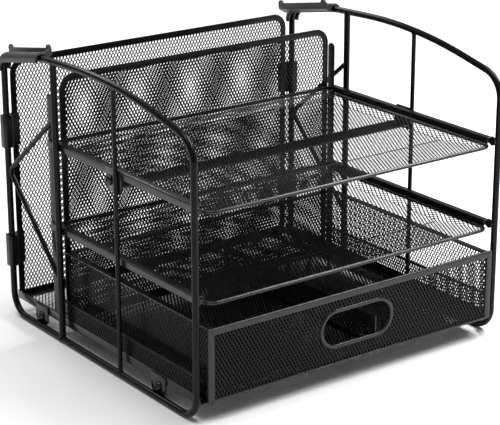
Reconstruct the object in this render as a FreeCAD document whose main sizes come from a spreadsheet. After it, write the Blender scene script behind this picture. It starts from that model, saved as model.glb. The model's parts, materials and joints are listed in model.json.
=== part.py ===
import FreeCAD, Part
import math
import os
import re

import Sketcher
from FreeCAD import Placement, Rotation, Vector

# Desk organizer in black wire and expanded metal: hanging-file bay at the back,
# two letter trays in front of it and a drawer under them.
# X runs left to right, the front faces -Y, Z is up, and the floor is Z = 0.
# A size that ends in forward is measured from the rear rods towards the front.
# A size that ends in height is measured up from the floor, reach sideways from the middle.
# A gap, setback, inset, rise or drop is measured from the neighbour that the places name.

SIZES = {
    # bent side frames
    "rod_spacing": 326.0,
    "rod_thick": 6.0,
    "frame_depth": 299.4,
    "foot_bend": 20.0,
    "rear_corner_height": 246.5,
    "rear_corner_bend": 12.0,
    "bow_rear_forward": 68.0,
    "bow_rear_rise": 12.9,
    "bow_rear_bend_share": 0.155,
    "bow_front_share": 0.618,
    "bow_front_rise": 18.1,
    "bow_front_bend_share": 0.59,
    "front_corner_drop": 7.5,
    "front_corner_bend": 24.0,
    # posts and braces inside the side frames
    "main_post_forward": 87.0,
    "slim_post_setback": 1.2,
    "slim_post_thick": 4.0,
    "brace_thick": 4.5,
    "brace_top_drop": 36.5,
    "brace_apex_drop": 69.0,
    "brace_foot_drop": 83.0,
    "brace_bend": 6.0,
    # moulded rails that carry the hanging files
    "rail_gap": 0.3,
    "rail_wall": 3.2,
    "rail_flat": 0.9,
    "rail_channel_round": 2.6,
    "rail_outer_lip": 5.0,
    "rail_inner_lip": 2.2,
    "rail_skirt": 1.06,
    "keel_drop": 1.8,
    "gutter_wall": 1.8,
    "hook_flange_reach": 11.2,
    "hook_flange_wall": 1.8,
    "hook_flange_rise": 8.0,
    "hook_flange_tall": 5.8,
    "ear_length": 8.0,
    "ear_rise": 11.0,
    "ear_round_share": 0.425,
    # strips and sheet
    "strip_thick": 1.2,
    "strip_width": 8.0,
    "panel_corner": 16.0,
    "mesh_thick": 0.8,
    "opening_share": 0.75,
    "seat_gap": 0.2,
    # rear panel, divider and their clips
    "panel_top_drop": 2.5,
    "rear_panel_side_gap": 6.5,
    "rear_panel_setback": 1.4,
    "divider_side_gap": 13.0,
    "clip_tall": 30.0,
    "clip_upper_rise": 37.0,
    "clip_lower_rise": 49.5,
    "clip_wall": 2.0,
    "clip_reach": 13.5,
    "clip_notch": 2.4,
    # uprights and tray bars
    "upright_forward": 66.0,
    "upright_width": 8.5,
    "upright_thick": 1.6,
    "upright_drop": 17.0,
    "bar_thick": 1.6,
    "bar_tall": 5.5,
    "eye_width": 8.5,
    "nose_setback": 3.4,
    # letter trays
    "top_tray_drop": 60.5,
    "middle_tray_rise": 26.0,
    "tray_overhang": 4.1,
    "tray_side_gap": 9.0,
    "tray_sheet": 1.0,
    "flange_setback": 0.4,
    "leg_depth": 7.0,
    "tray_corner": 11.0,
    "lip_drop": 5.0,
    "lip_depth": 3.5,
    "lip_tall": 2.5,
    "pan_sink": 10.5,
    "side_crease_inset": 13.0,
    "rear_crease_inset": 9.0,
    "front_crease_inset": 53.5,
    # cross bar under the top tray, its lugs and screws
    "cross_bar_inset": 1.0,
    "cross_bar_width": 20.0,
    "cross_bar_thick": 1.6,
    "lug_setback": 18.8,
    "lug_length": 23.0,
    "lug_drop": 20.0,
    "lug_chamfer": 6.0,
    "cross_screw_inset": 5.5,
    "cross_tab_wall": 1.95,
    # fasteners
    "screw_head": 9.0,
    "screw_dome": 3.0,
    "screw_shank": 3.9,
    "nut_width": 6.0,
    "nut_thick": 2.4,
    "fastener_gap": 0.05,
    # base tray
    "base_height": 14.0,
    "ridge_rise": 24.0,
    "ridge_wire": 2.6,
    "ridge_overhang": 1.5,
    "base_setback": 2.4,
    "tab_low_height": 3.6,
    "tab_lap": 7.0,
    "tab_length": 21.0,
    "tab_round": 5.0,
    "rear_tab_forward": 44.5,
    "front_tab_setback": 59.0,
    # drawer
    "drawer_lift": 2.8,
    "drawer_front_tall": 65.0,
    "drawer_side_gap": 7.5,
    "drawer_front_strip": 6.5,
    "drawer_front_thick": 2.0,
    "drawer_front_gap": 1.6,
    "drawer_corner": 2.0,
    "drawer_wall_inset": 5.5,
    "drawer_rear_gap": 5.5,
    "drawer_rim_width": 6.0,
    "drawer_rim_drop": 1.0,
    "drawer_floor_rise": 5.5,
    "runner_gap": 0.3,
    "foot_strip": 8.0,
    "rim_hole": 4.0,
    "rim_hole_inset": 16.0,
    "rim_hole_pitch": 94.0,
    "partition_offset": 22.0,
    "partition_tall": 30.0,
    "partition_strip": 5.0,
    "slot_length": 78.0,
    "slot_tall_share": 0.4692,
    "slot_rise_share": 0.5077,
    "slot_trim": 2.6,
    "slot_trim_proud": 1.0,
}

PLACES = {
    # across the sorter
    "side_reach": "rod_spacing / 2",
    "rod_half": "rod_thick / 2",
    "main_post_thick": "rod_thick",
    "bar_outer": "side_reach - rod_half",
    "bar_inner": "bar_outer - bar_thick",
    "upright_inner": "bar_inner - upright_thick",
    "rear_panel_reach": "side_reach - rear_panel_side_gap",
    "divider_reach": "side_reach - divider_side_gap",
    "tray_leg_reach": "side_reach - tray_side_gap",
    "flange_outer": "bar_outer - flange_setback",
    "drawer_front_reach": "side_reach - drawer_side_gap",
    "drawer_wall_reach": "drawer_front_reach - drawer_wall_inset",
    "lug_thick": "rod_half - slim_post_thick / 2",
    # from the rear rods to the front
    "saddle_half": "rod_half + rail_gap + rail_wall",
    "rail_round": "saddle_half - rail_flat",
    "ear_round": "ear_length * ear_round_share",
    "drawer_front_rear": "frame_depth + rod_half + drawer_front_gap",
    "drawer_front_face": "drawer_front_rear + drawer_front_thick",
    "rear_rod_y": "(drawer_front_face - saddle_half) / 2",
    "rear_eye_forward": "upright_forward + upright_width / 2",
    "divider_forward": "upright_forward + upright_width",
    "tray_rear_forward": "divider_forward + seat_gap",
    "drawer_rear_forward": "divider_forward + drawer_rear_gap",
    "rim_hole_rear_forward": "drawer_rear_forward + rim_hole_inset",
    "rim_hole_front_forward": "rim_hole_rear_forward + rim_hole_pitch",
    "nose_forward": "frame_depth - nose_setback",
    "flange_end_forward": "nose_forward - eye_width / 2 - seat_gap",
    "tray_front_forward": "frame_depth + tray_overhang",
    "front_crease_forward": "tray_front_forward - front_crease_inset",
    "base_front_forward": "frame_depth - base_setback",
    "front_tab_forward": "base_front_forward - front_tab_setback",
    "bow_front_forward": "frame_depth * bow_front_share",
    "slim_post_forward": "bow_front_forward - slim_post_setback",
    "lug_forward": "slim_post_forward - lug_setback",
    "cross_bar_forward": "lug_forward + cross_bar_inset",
    "cross_screw_forward": "lug_forward + cross_screw_inset",
    # the bow of the side frames
    "bow_rear_height": "rear_corner_height + bow_rear_rise",
    "bow_front_height": "rear_corner_height + bow_front_rise",
    "front_corner_height": "rear_corner_height - front_corner_drop",
    "riser_slope": "atan((bow_rear_height - rear_corner_height) / bow_rear_forward)",
    "mid_slope": "atan((bow_front_height - bow_rear_height) / (bow_front_forward - bow_rear_forward))",
    "fall_slope": "atan((bow_front_height - front_corner_height) / (frame_depth - bow_front_forward))",
    "riser_length": "bow_rear_forward / cos(riser_slope)",
    "flange_length": "riser_length + saddle_half",
    "mid_length": "(bow_front_forward - bow_rear_forward) / cos(mid_slope)",
    "fall_length": "(frame_depth - bow_front_forward) / cos(fall_slope)",
    "rail_drop": "rear_corner_bend * tan((90 deg - riser_slope) / 2) + rail_skirt",
    "bow_rear_run": "bow_rear_bend_share * min(riser_length, mid_length)",
    "bow_front_run": "bow_front_bend_share * min(mid_length, fall_length)",
    "bow_rear_bend": "bow_rear_run / tan(abs(riser_slope - mid_slope) / 2)",
    "bow_front_bend": "bow_front_run / tan(abs(mid_slope + fall_slope) / 2)",
    "bow_front_sag": "bow_front_run * tan((mid_slope + fall_slope) / 4)",
    "main_post_top": "bow_rear_height + (main_post_forward - bow_rear_forward) * tan(mid_slope)",
    "slim_post_top": "bow_front_height - bow_front_sag",
    "brace_half": "brace_thick / 2",
    "brace_apex_forward": "rod_half + brace_half",
    "brace_top_height": "rear_corner_height - brace_top_drop",
    "brace_apex_height": "brace_top_height - brace_apex_drop",
    "brace_foot_height": "brace_apex_height - brace_foot_drop",
    # up from the floor
    "base_strip_top": "base_height + strip_width",
    "base_floor_top": "base_height + strip_thick",
    "ridge_height": "base_height + ridge_rise",
    "tab_top_height": "base_height + tab_lap",
    "tab_screw_height": "rod_thick + screw_head / 2",
    "drawer_floor_low": "base_floor_top + runner_gap",
    "partition_low": "drawer_floor_low + drawer_floor_rise + mesh_thick",
    "drawer_low_height": "base_floor_top + drawer_lift",
    "slot_tall": "drawer_front_tall * slot_tall_share",
    "slot_centre_height": "drawer_low_height + drawer_front_tall * slot_rise_share",
    "drawer_top_height": "drawer_low_height + drawer_front_tall",
    "drawer_rim_top": "drawer_top_height - drawer_rim_drop",
    "drawer_wall_top": "drawer_rim_top - strip_thick",
    "middle_tray_height": "drawer_top_height + middle_tray_rise",
    "top_tray_height": "rear_corner_height - top_tray_drop",
    "cross_tab_top": "top_tray_height - tray_sheet - bar_tall - seat_gap",
    "cross_screw_height": "cross_tab_top - cross_tab_wall - screw_shank / 2",
    "cross_bar_height": "cross_screw_height - nut_width / 2 - seat_gap - cross_bar_thick",
    "lug_low_height": "top_tray_height - lug_drop",
    "clip_upper_height": "brace_apex_height + clip_upper_rise",
    "clip_lower_height": "base_height + clip_lower_rise",
    "panel_top_height": "rear_corner_height - panel_top_drop",
    "upright_top_height": "panel_top_height - upright_drop",
}

WORD = re.compile(r"[a-z]\w*")
ORIGIN_PLANES = {"top": "XY_Plane", "front": "XZ_Plane", "side": "YZ_Plane"}
SIDES = (("left", -1), ("right", 1))
OPENING_COLUMNS = 10
PANEL_OPENING_ROWS = 4
TRAY_OPENING_ROWS = 3

doc = FreeCAD.newDocument("organizer")
sheet = doc.addObject("Spreadsheet::Sheet", "Sizes")
pieces = []


def fill_sheet():
    """Writes each size as a plain number and each place as a sum of sizes."""
    cells = [(name, str(size)) for name, size in SIZES.items()]
    cells += [(name, "=" + words) for name, words in PLACES.items()]
    for row, (name, content) in enumerate(cells, 1):
        sheet.set(f"A{row}", name)
        sheet.set(f"B{row}", content)
        sheet.setAlias(f"B{row}", name)
    doc.recompute()


def bound(words):
    """The expression for a sum of named sizes, as other objects write it."""
    return WORD.sub(lambda m: "Sizes." + m.group() if m.group() in SIZES or m.group() in PLACES
                    else m.group(), words)


def number(words):
    """The value of a sum of named sizes."""
    found = sheet.evalExpression(bound(words))
    return float(getattr(found, "Value", found))


def minus(words):
    return f"-({words})"


def mirrored(side, words):
    """The same place on the left or on the right."""
    return words if side > 0 else minus(words)


def bind(piece, prop, words):
    piece.setExpression(prop, bound(words))


def seat(piece, x="0", y="0", z="0"):
    """Puts a piece at named places."""
    for axis, words in zip("xyz", (x, y, z)):
        if words != "0":
            bind(piece, f".Placement.Base.{axis}", words)


def keep(piece, label):
    """Marks an object as a sub-part and gives it the name of its file."""
    piece.Label = label
    pieces.append(piece)
    return piece


def new_body(label, x="0", y="rear_rod_y", z="0"):
    body = keep(doc.addObject("PartDesign::Body", label), label)
    seat(body, x, y, z)
    return body


def new_sketch(body, name, plane, offset="0"):
    """A sketch on one of the body's own planes, moved along that plane's normal."""
    sketch = body.newObject("Sketcher::SketchObject", name)
    role = ORIGIN_PLANES[plane]
    sketch.AttachmentSupport = [(part, "") for part in body.Origin.OriginFeatures if part.Role == role]
    sketch.MapMode = "FlatFace"
    if offset != "0":
        bind(sketch, "AttachmentOffset.Base.z", offset)
    return sketch


def pin_point(sketch, geometry, end, across, up):
    """Ties a point of the sketch to two named places."""
    for kind, words, axis in (("DistanceX", across, -2), ("DistanceY", up, -1)):
        if words == "0":
            sketch.addConstraint(Sketcher.Constraint("PointOnObject", geometry, end, axis))
        else:
            row = sketch.addConstraint(Sketcher.Constraint(kind, -1, 1, geometry, end, number(words)))
            bind(sketch, f"Constraints[{row}]", words)


def bend_arc(before, corner, after, radius):
    """The arc that rounds a corner, and whether it turns to the left."""
    incoming = (corner - before).normalize()
    outgoing = (after - corner).normalize()
    turn = math.atan2(incoming.cross(outgoing).z, incoming.dot(outgoing))
    run = radius * math.tan(abs(turn) / 2)
    start = corner - incoming * run
    end = corner + outgoing * run
    left = turn > 0
    side = Vector(-incoming.y, incoming.x, 0) * (radius if left else -radius)
    centre = start + side
    first, last = (start, end) if left else (end, start)
    angles = [math.atan2((spot - centre).y, (spot - centre).x) for spot in (first, last)]
    if angles[1] < angles[0]:
        angles[1] += 2 * math.pi
    circle = Part.Circle(centre, Vector(0, 0, 1), radius)
    return start, end, left, Part.ArcOfCircle(circle, angles[0], angles[1])


def draw_outline(sketch, corners, closed=True):
    """Draws straight runs between named corners, each (across, up) or (across, up, radius)."""
    spots = [Vector(number(corner[0]), number(corner[1]), 0) for corner in corners]
    count = len(corners)
    starts = list(spots)
    ends = list(spots)
    arcs = {}
    for row, corner in enumerate(corners):
        if len(corner) == 3:
            before, after = spots[row - 1], spots[(row + 1) % count]
            starts[row], ends[row], left, arc = bend_arc(before, spots[row], after, number(corner[2]))
            arcs[row] = (arc, left)
    runs = count if closed else count - 1
    lines = []
    for row in range(runs):
        line = Part.LineSegment(ends[row], starts[(row + 1) % count])
        lines.append(sketch.addGeometry(line, False))
    for row, corner in enumerate(corners):
        before, after = lines[row - 1], lines[row % runs]
        if row in arcs:
            arc, left = arcs[row]
            bend = sketch.addGeometry(arc, False)
            mark = sketch.addGeometry(Part.Point(spots[row]), True)
            first, last = (1, 2) if left else (2, 1)
            sketch.addConstraint([
                Sketcher.Constraint("Tangent", before, 2, bend, first),
                Sketcher.Constraint("Tangent", bend, last, after, 1),
                Sketcher.Constraint("PointOnObject", mark, 1, before),
                Sketcher.Constraint("PointOnObject", mark, 1, after),
            ])
            size = sketch.addConstraint(Sketcher.Constraint("Radius", bend, number(corner[2])))
            bind(sketch, f"Constraints[{size}]", corner[2])
            pin_point(sketch, mark, 1, corner[0], corner[1])
        elif not closed and row == count - 1:
            pin_point(sketch, before, 2, corner[0], corner[1])
        else:
            if closed or row > 0:
                sketch.addConstraint(Sketcher.Constraint("Coincident", before, 2, after, 1))
            pin_point(sketch, after, 1, corner[0], corner[1])


def draw_box(sketch, left, low, right, high, radius=None):
    """Draws an upright rectangle, with its corners rounded if a radius is named."""
    corners = [(left, low), (right, low), (right, high), (left, high)]
    if radius:
        corners = [corner + (radius,) for corner in corners]
    draw_outline(sketch, corners)


def draw_circle(sketch, across, up, radius):
    circle = sketch.addGeometry(Part.Circle(Vector(number(across), number(up), 0), Vector(0, 0, 1),
                                            number(radius)), False)
    size = sketch.addConstraint(Sketcher.Constraint("Radius", circle, number(radius)))
    bind(sketch, f"Constraints[{size}]", radius)
    pin_point(sketch, circle, 3, across, up)


def draw_stadium(sketch, length, tall, up):
    """Draws a slot with round ends, centred on the upright axis."""
    reach = number(f"({length} - {tall}) / 2")
    radius = number(f"({tall}) / 2")
    centre = number(up)
    quarter = math.pi / 2
    ends = []
    for across, turn in ((reach, -quarter), (-reach, quarter)):
        circle = Part.Circle(Vector(across, centre, 0), Vector(0, 0, 1), radius)
        ends.append(sketch.addGeometry(Part.ArcOfCircle(circle, turn, turn + 2 * quarter), False))
    right, left = ends
    top = sketch.addGeometry(Part.LineSegment(Vector(reach, centre + radius, 0),
                                              Vector(-reach, centre + radius, 0)), False)
    low = sketch.addGeometry(Part.LineSegment(Vector(-reach, centre - radius, 0),
                                              Vector(reach, centre - radius, 0)), False)
    joints = ((right, 2, top, 1), (top, 2, left, 1), (left, 2, low, 1), (low, 2, right, 1))
    for before, end, after, start in joints:
        sketch.addConstraint(Sketcher.Constraint("Tangent", before, end, after, start))
    size = sketch.addConstraint(Sketcher.Constraint("Radius", right, radius))
    bind(sketch, f"Constraints[{size}]", f"({tall}) / 2")
    pin_point(sketch, right, 3, f"({length} - {tall}) / 2", up)
    pin_point(sketch, left, 3, minus(f"({length} - {tall}) / 2"), up)


def pad(body, sketch, length, reverse=False, both=False):
    """Thickens a sketch along its normal: up, to the right, or to the front."""
    feature = body.newObject("PartDesign::Pad", "Pad")
    feature.Profile = sketch
    bind(feature, "Length", length)
    feature.Reversed = reverse
    if both:
        feature.SideType = "Symmetric"
    return feature


def pocket(body, sketch, length, reverse=False):
    """Cuts a sketch out of the body against its normal."""
    doc.recompute()
    before = body.Shape.Volume
    feature = body.newObject("PartDesign::Pocket", "Pocket")
    feature.Profile = sketch
    bind(feature, "Length", length)
    feature.Reversed = reverse
    doc.recompute()
    if not body.Shape.Volume < before:
        raise RuntimeError(f"{body.Label}: {sketch.Name} cuts nothing")
    return feature


def cut_openings(body, plane, left, low, width, tall, rows):
    """Cuts staggered rows of diamonds, a coarse form of the fine holes in expanded metal."""
    pitch = f"({width}) / {OPENING_COLUMNS}"
    rise = f"({tall}) / {rows}"
    for name, shift, fewer in (("Corner", "/ 2", 0), ("Middle", "", 1)):
        across = f"{left} + {pitch} {shift}"
        up = f"{low} + {rise} {shift}"
        diamond = new_sketch(body, f"{name}Opening", plane)
        draw_outline(diamond, [
            (f"{across} - {pitch} / 2 * opening_share", up),
            (across, f"{up} - {rise} / 2 * opening_share"),
            (f"{across} + {pitch} / 2 * opening_share", up),
            (across, f"{up} + {rise} / 2 * opening_share"),
        ])
        cut = pocket(body, diamond, "mesh_thick", reverse=True)
        grid = body.newObject("PartDesign::LinearPattern", f"{name}Openings")
        grid.Originals = [cut]
        grid.Direction = (diamond, ["H_Axis"])
        grid.Occurrences = OPENING_COLUMNS - fewer
        bind(grid, "Length", f"{pitch} * {OPENING_COLUMNS - fewer - 1}")
        grid.Direction2 = (diamond, ["V_Axis"])
        grid.Occurrences2 = rows - fewer
        bind(grid, "Length2", f"{rise} * {rows - fewer - 1}")
        body.Tip = grid


def sweep_rod(body, path, section):
    """Runs a section along a path with round corners."""
    feature = body.newObject("PartDesign::AdditivePipe", "Sweep")
    feature.Profile = section
    feature.Spine = (path, [])
    feature.Transition = "Round corner"
    return feature


def straight_rod(name, thick, length, x, y, z, turn=None):
    """A plain round rod, upright unless it is turned."""
    rod = doc.addObject("Part::Cylinder", name)
    bind(rod, "Radius", f"{thick} / 2")
    bind(rod, "Height", length)
    if turn:
        rod.Placement = Placement(Vector(), turn)
    seat(rod, x, y, z)
    return rod


def cut_by(label, base, tool):
    """What is left of a piece once another has been cut out of it."""
    cut = doc.addObject("Part::Cut", label)
    cut.Base = base
    cut.Tool = tool
    return keep(cut, label)


def side_frame(name, side):
    """The closed loop of bent rod that stands at each side."""
    body = new_body(f"{name}_side_frame", x=mirrored(side, "side_reach"))
    path = new_sketch(body, "LoopPath", "side")
    draw_outline(path, [
        ("0", "brace_apex_height"),
        ("0", "rod_half", "foot_bend"),
        (minus("frame_depth"), "rod_half", "foot_bend"),
        (minus("frame_depth"), "front_corner_height", "front_corner_bend"),
        (minus("bow_front_forward"), "bow_front_height", "bow_front_bend"),
        (minus("bow_rear_forward"), "bow_rear_height", "bow_rear_bend"),
        ("0", "rear_corner_height", "rear_corner_bend"),
    ])
    section = new_sketch(body, "RodSection", "top", "brace_apex_height")
    draw_circle(section, "0", "0", "rod_half")
    sweep_rod(body, path, section)
    return body


def frame_posts(name, side, frame):
    """The two upright rods, their ends hollowed to sit on the loop."""
    for kind in ("main", "slim"):
        rod = straight_rod(f"{name}_{kind}_rod", f"{kind}_post_thick", f"{kind}_post_top - rod_half",
                           mirrored(side, "side_reach"), f"rear_rod_y - {kind}_post_forward", "rod_half")
        cut_by(f"{name}_{kind}_post", rod, frame)


def zigzag_brace(name, side):
    """The bent rod between the main post and the rear of the loop."""
    body = doc.addObject("PartDesign::Body", f"{name}_brace_rod")
    seat(body, mirrored(side, "side_reach"), "rear_rod_y")
    path = new_sketch(body, "BracePath", "side")
    start = Vector(-number("main_post_forward"), number("brace_top_height"), 0)
    finish = Vector(-number("main_post_forward"), number("brace_foot_height"), 0)
    radius = number("brace_bend")
    centre = Vector(-number("brace_apex_forward") - radius, number("brace_apex_height"), 0)
    touches = []
    for spot, turn in ((start, 1), (finish, -1)):
        towards = spot - centre
        angle = math.atan2(towards.y, towards.x) - turn * math.acos(radius / towards.Length)
        touches.append((angle, centre + Vector(math.cos(angle), math.sin(angle), 0) * radius))
    upper = path.addGeometry(Part.LineSegment(start, touches[0][1]), False)
    circle = Part.Circle(centre, Vector(0, 0, 1), radius)
    bend = path.addGeometry(Part.ArcOfCircle(circle, touches[1][0], touches[0][0]), False)
    lower = path.addGeometry(Part.LineSegment(touches[1][1], finish), False)
    path.addConstraint([Sketcher.Constraint("Tangent", upper, 2, bend, 2),
                        Sketcher.Constraint("Tangent", bend, 1, lower, 1)])
    size = path.addConstraint(Sketcher.Constraint("Radius", bend, radius))
    bind(path, f"Constraints[{size}]", "brace_bend")
    pin_point(path, bend, 3, minus("brace_apex_forward + brace_bend"), "brace_apex_height")
    pin_point(path, upper, 1, minus("main_post_forward"), "brace_top_height")
    pin_point(path, lower, 2, minus("main_post_forward"), "brace_foot_height")
    doc.recompute()
    section = body.newObject("Sketcher::SketchObject", "BraceSection")
    section.AttachmentSupport = [(path, "Edge1"), (path, "Vertex1")]
    section.MapMode = "NormalToEdge"
    draw_circle(section, "0", "0", "brace_half")
    sweep_rod(body, path, section)
    post = straight_rod(f"{name}_brace_seat", "main_post_thick", "main_post_top - rod_half",
                        mirrored(side, "side_reach"), "rear_rod_y - main_post_forward", "rod_half")
    return cut_by(f"{name}_zigzag_brace", body, post)


def file_rail(name, side):
    """The moulded rail: a saddle over the rod, a gutter and the flange that files hook on."""
    body = keep(doc.addObject("PartDesign::Body", f"{name}_file_rail"), f"{name}_file_rail")
    body.Placement = Placement(Vector(), Rotation(Vector(-1, 0, 0), abs(number("riser_slope"))))
    bind(body, ".Placement.Rotation.Angle", "riser_slope")
    seat(body, mirrored(side, "side_reach"), "rear_rod_y - bow_rear_forward", "bow_rear_height")

    path = new_sketch(body, "SaddlePath", "side")
    draw_outline(path, [
        ("0", "0"),
        ("riser_length", "0", "rear_corner_bend"),
        ("riser_length + rail_drop * sin(riser_slope)", minus("rail_drop * cos(riser_slope)")),
    ], closed=False)
    section = new_sketch(body, "SaddleSection", "front")
    channel = "rod_half + rail_gap"
    draw_outline(section, [
        (mirrored(side, "saddle_half"), minus("rail_outer_lip")),
        (mirrored(side, "saddle_half"), "saddle_half", "rail_round"),
        (mirrored(-side, "saddle_half"), "saddle_half", "rail_round"),
        (mirrored(-side, "saddle_half"), minus("rail_inner_lip")),
        (mirrored(-side, channel), minus("rail_inner_lip")),
        (mirrored(-side, channel), channel, "rail_channel_round"),
        (mirrored(side, channel), channel, "rail_channel_round"),
        (mirrored(side, channel), minus("rail_outer_lip")),
    ])
    sweep_rod(body, path, section)

    gutter = new_sketch(body, "GutterSection", "front")
    flange_low = "hook_flange_rise - hook_flange_tall"
    draw_outline(gutter, [
        (mirrored(-side, "saddle_half - gutter_wall"), "gutter_wall - keel_drop"),
        (mirrored(-side, "saddle_half - gutter_wall"), minus("keel_drop")),
        (mirrored(-side, "hook_flange_reach"), flange_low),
        (mirrored(-side, "hook_flange_reach"), "hook_flange_rise"),
        (mirrored(-side, "hook_flange_reach - hook_flange_wall"), "hook_flange_rise"),
        (mirrored(-side, "hook_flange_reach - hook_flange_wall"), f"{flange_low} + gutter_wall / 2"),
    ])
    pad(body, gutter, "flange_length", reverse=True)

    flange_face = "hook_flange_reach - hook_flange_wall" if side < 0 else minus("hook_flange_reach")
    ears = new_sketch(body, "Ears", "side", flange_face)
    for first, last in (("0", "ear_length"), ("flange_length - ear_length", "flange_length")):
        draw_outline(ears, [
            (first, flange_low),
            (last, flange_low),
            (last, "ear_rise", "ear_round"),
            (first, "ear_rise", "ear_round"),
        ])
    pad(body, ears, "hook_flange_wall")

    webs = new_sketch(body, "EndWebs", "front")
    draw_outline(webs, [
        (mirrored(-side, "saddle_half - gutter_wall"), minus("keel_drop")),
        (mirrored(-side, "hook_flange_reach"), flange_low),
        (mirrored(-side, "hook_flange_reach"), "hook_flange_rise"),
        (mirrored(-side, "saddle_half - gutter_wall"), "saddle_half - gutter_wall"),
    ])
    pad(body, webs, "gutter_wall", reverse=True)
    return body


def panel(label, front_forward, half, low, high, corner, thick_words="strip_thick"):
    """The strip frame of an upright panel, with round top corners."""
    body = new_body(label, y=f"rear_rod_y - ({front_forward}) + strip_thick")
    ring = new_sketch(body, "Ring", "front")
    draw_outline(ring, [(minus(half), low), (half, low), (half, high, corner), (minus(half), high, corner)])
    inner = f"{half} - strip_width"
    draw_outline(ring, [
        (minus(inner), f"{low} + strip_width"),
        (inner, f"{low} + strip_width"),
        (inner, f"{high} - strip_width", f"{corner} - strip_width"),
        (minus(inner), f"{high} - strip_width", f"{corner} - strip_width"),
    ])
    pad(body, ring, thick_words)
    return body


def panel_mesh(label, front_forward, half, low, high, corner):
    """The expanded-metal sheet inside an upright frame."""
    body = new_body(label, y=f"rear_rod_y - ({front_forward}) + (strip_thick + mesh_thick) / 2")
    sheet_outline = new_sketch(body, "Sheet", "front")
    inner = f"{half} - strip_width"
    draw_outline(sheet_outline, [
        (minus(inner), f"{low} + strip_width"),
        (inner, f"{low} + strip_width"),
        (inner, f"{high} - strip_width", f"{corner} - strip_width"),
        (minus(inner), f"{high} - strip_width", f"{corner} - strip_width"),
    ])
    pad(body, sheet_outline, "mesh_thick")
    cut_openings(body, "front", minus(inner), f"{low} + strip_width", f"2 * ({inner})",
                 f"{high} - {low} - 2 * strip_width", PANEL_OPENING_ROWS)
    return body


def panel_clip(name, side, level):
    """The moulded clip that holds the rear panel's edge to the rear rod."""
    body = new_body(f"{name}_{level}_panel_clip", x=mirrored(side, "side_reach"),
                    z=f"clip_{level}_height - clip_tall / 2")
    section = new_sketch(body, "ClipSection", "top")
    grip = "rod_half + clip_wall"
    slot_low = "rear_panel_setback - seat_gap / 2"
    slot_high = "rear_panel_setback + strip_thick + seat_gap / 2"
    throat = "rear_panel_side_gap - seat_gap"
    draw_outline(section, [
        (mirrored(-side, "clip_reach"), grip),
        (mirrored(-side, "clip_reach"), slot_high),
        (mirrored(-side, throat), slot_high),
        (mirrored(-side, throat), slot_low),
        (mirrored(-side, "clip_reach"), slot_low),
        (mirrored(-side, "clip_reach"), f"{slot_low} - clip_wall / 2"),
        (mirrored(-side, grip), f"{slot_low} - clip_wall / 2"),
        (mirrored(-side, grip), minus(grip), "rod_half"),
        (mirrored(side, grip), minus(grip), "rod_half"),
        (mirrored(side, grip), grip, "rod_half"),
    ])
    draw_circle(section, "0", "0", "rod_half")
    pad(body, section, "clip_tall")
    notch = new_sketch(body, "ClipNotch", "front")
    draw_box(notch, minus("clip_notch / 2"), "clip_tall - clip_notch",
             "clip_notch / 2", "clip_tall + clip_notch")
    pocket(body, notch, f"{grip} + clip_wall", reverse=True)
    return body


def upright(name, side):
    """The flat strip that the tray bars' rear eyes fix to."""
    body = new_body(f"{name}_upright", x=mirrored(side, "upright_inner + upright_thick / 2"))
    outline = new_sketch(body, "Strip", "side")
    rear, front = minus("upright_forward"), minus("upright_forward + upright_width")
    draw_outline(outline, [
        (front, "base_strip_top"),
        (rear, "base_strip_top"),
        (rear, "upright_top_height", "upright_width / 2 - seat_gap"),
        (front, "upright_top_height", "upright_width / 2 - seat_gap"),
    ])
    pad(body, outline, "upright_thick", both=True)
    return body


def tray_bar(tray, name, side):
    """The flat bar that carries one side of a tray, with a round eye at each end."""
    body = new_body(f"{tray}_tray_{name}_bar", x=mirrored(side, "bar_inner + bar_thick / 2"))
    bar_high = f"{tray}_tray_height - tray_sheet"
    middle = f"{bar_high} - bar_tall / 2"
    strip = new_sketch(body, "Bar", "side")
    draw_box(strip, minus("nose_forward"), f"{bar_high} - bar_tall", minus("rear_eye_forward"), bar_high)
    pad(body, strip, "bar_thick", both=True)
    for spot in ("nose_forward", "rear_eye_forward"):
        eye = new_sketch(body, "Eye", "side")
        draw_circle(eye, minus(spot), middle, "eye_width / 2")
        pad(body, eye, "bar_thick", both=True)
    return body


def tray_rim(tray):
    """The formed rim: a leg all round, flanges over the bars and a lower lip in front."""
    body = new_body(f"{tray}_tray_rim", z=f"{tray}_tray_height")
    rear = minus("tray_rear_forward")
    front = minus("tray_front_forward")
    leg_inner = "tray_leg_reach - tray_sheet"

    lip = new_sketch(body, "Lip", "top", minus("lip_drop + lip_tall"))
    corner = "tray_corner"
    draw_outline(lip, [
        (minus("tray_leg_reach"), front, corner),
        ("tray_leg_reach", front, corner),
        ("tray_leg_reach", rear),
        (minus("tray_leg_reach"), rear),
    ])
    draw_outline(lip, [
        (minus(leg_inner), f"{front} + lip_depth", f"{corner} - tray_sheet"),
        (leg_inner, f"{front} + lip_depth", f"{corner} - tray_sheet"),
        (leg_inner, f"{rear} - tray_sheet"),
        (minus(leg_inner), f"{rear} - tray_sheet"),
    ])
    pad(body, lip, "lip_tall")

    legs = new_sketch(body, "Legs", "top", minus("leg_depth"))
    flange_end = minus("flange_end_forward")
    draw_outline(legs, [
        (minus("tray_leg_reach"), flange_end),
        (minus(leg_inner), flange_end),
        (minus(leg_inner), f"{rear} - tray_sheet"),
        (leg_inner, f"{rear} - tray_sheet"),
        (leg_inner, flange_end),
        ("tray_leg_reach", flange_end),
        ("tray_leg_reach", rear),
        (minus("tray_leg_reach"), rear),
    ])
    pad(body, legs, "leg_depth")

    flanges = new_sketch(body, "Flanges", "top", minus("tray_sheet"))
    draw_box(flanges, leg_inner, flange_end, "flange_outer", rear)
    draw_box(flanges, minus("flange_outer"), flange_end, minus(leg_inner), rear)
    feature = pad(body, flanges, "tray_sheet")
    feature.AllowMultiFace = True
    return body


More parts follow.
